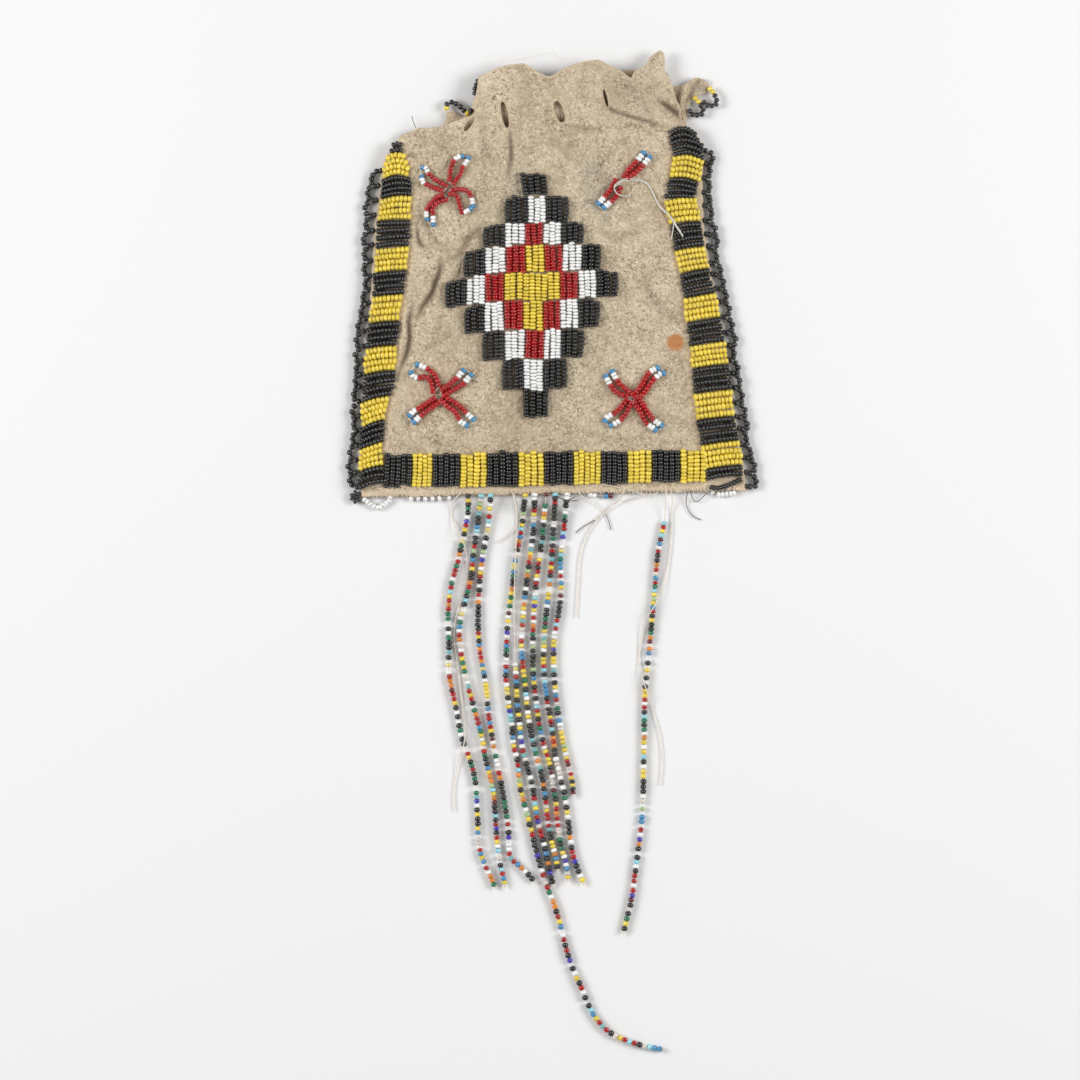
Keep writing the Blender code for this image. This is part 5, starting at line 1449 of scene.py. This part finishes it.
# %% Whip stitches over the hem
WHIP_PITCH = 4.2
whips = Beading("hem_stitches", pale_thread, 0.32)
play = np.random.default_rng(81)
for px in np.arange(372, 735, WHIP_PITCH):
    x = at(px + play.normal(0.0, 0.6), 0)[0]
    y = bottom_line(x)
    lean = play.normal(0.5, 0.25)
    whips.thread([(x, y + 1.5, front_height(x, y + 1.5) + 0.1),
                  (x + 0.4 * lean, y + 0.5, front_height(x, y + 0.5) + 0.22),
                  (x + 0.8 * lean, y - 0.28, 1.6), (x + 0.8 * lean, y - 0.2, 0.8)])
whips.make(slot="thread")

# %% Running stitch on the back
BACK_SEAM_INSET, BACK_PITCH, BACK_STITCH = 3.0, 4.4, 2.4
IN_HIDE, UNDER_HIDE = 0.12, -0.10
BACK_REACH = 58.0
seams = Beading("back_stitches", pale_thread, 0.35)


def running_stitch(x0, y0, x1, y1):
    """One stitch along the back's outer face, its ends sunk in the hide."""
    seams.thread([(x0, y0, IN_HIDE), (x0, y0, UNDER_HIDE), (x1, y1, UNDER_HIDE),
                  (x1, y1, IN_HIDE)])


for y in np.arange(BOTTOM_Y + 6.0, FOLD_Y - 3.0, BACK_PITCH):
    for edge, side in ((left_edge, 1.0), (right_edge, -1.0)):
        x0, x1 = edge(np.array((y, y + BACK_STITCH))) + side * BACK_SEAM_INSET
        running_stitch(x0, y, x1, y + BACK_STITCH)
for x in np.arange(-BACK_REACH, BACK_REACH, BACK_PITCH):
    y = bottom_line(x) + BACK_SEAM_INSET
    running_stitch(x, y, x + BACK_STITCH, y)
seams.make(slot="thread")
bpy.data.objects.remove(seed_bead)

# %% [markdown]
# ## Table, lights and surroundings
#
# The pouch lies on a white table under two soft lights, one at each side, which leave two small
# highlights on each black bead and a grey shadow all round.

# %% White table
TABLE_REACH, TABLE_DROP = 3.0, 0.0003
corners = [(x * TABLE_REACH, y * TABLE_REACH, -TABLE_DROP)
           for x, y in ((-1, -1), (1, -1), (1, 1), (-1, 1))]
table_mesh = bpy.data.meshes.new("table")
table_mesh.from_pydata(corners, [], [(0, 1, 2, 3)])
table = add_object("table", table_mesh)
paper = Shading("white_table")
paper.set(Base_Color=(0.80, 0.80, 0.80, 1.0), Roughness=0.8, Specular_IOR_Level=0.2)
table_mesh.materials.append(paper.material)
table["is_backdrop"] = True

# %% Two soft side lights
LIGHT_SIZE = 0.6
LIGHT_AIM = Vector((0.0, -0.07, 0.0))


def soft_light(name, place, power):
    """A square light aimed at the pouch."""
    data = bpy.data.lights.new(name, "AREA")
    data.shape, data.size, data.energy = "SQUARE", LIGHT_SIZE, power
    light = add_object(name, data)
    light.location = place
    light.rotation_euler = (LIGHT_AIM - Vector(place)).to_track_quat("-Z", "Y").to_euler()
    light.visible_camera = False


soft_light("left_light", (-1.02, 0.15, 0.90), 11.6)
soft_light("right_light", (1.02, 0.12, 0.90), 11.3)

# %% Surroundings: dim overhead, brighter towards the horizon
HORIZON, OVERHEAD = 0.46, 0.36
world = bpy.data.worlds.new("studio")
bpy.context.scene.world = world
world.use_nodes = True
sky = add_node(world.node_tree, "ShaderNodeTexCoord", {}, "Generated")
up = add_node(world.node_tree, "ShaderNodeSeparateXYZ", {"Vector": sky}, "Z")
strength = add_node(world.node_tree, "ShaderNodeMapRange",
                    {"Value": up, "From Min": 0.0, "From Max": 1.0, "To Min": HORIZON,
                     "To Max": OVERHEAD}, "Result")
feed(world.node_tree, world.node_tree.nodes["Background"],
     {"Strength": strength, "Color": (1.0, 1.0, 1.0, 1.0)})
bpy.context.scene.view_settings.view_transform = "Standard"
bpy.context.scene.view_settings.look = "None"

# %% Write the sizes and finish
low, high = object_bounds()
print("size in mm:", [round((b - a) * 1000, 1) for a, b in zip(low, high)])
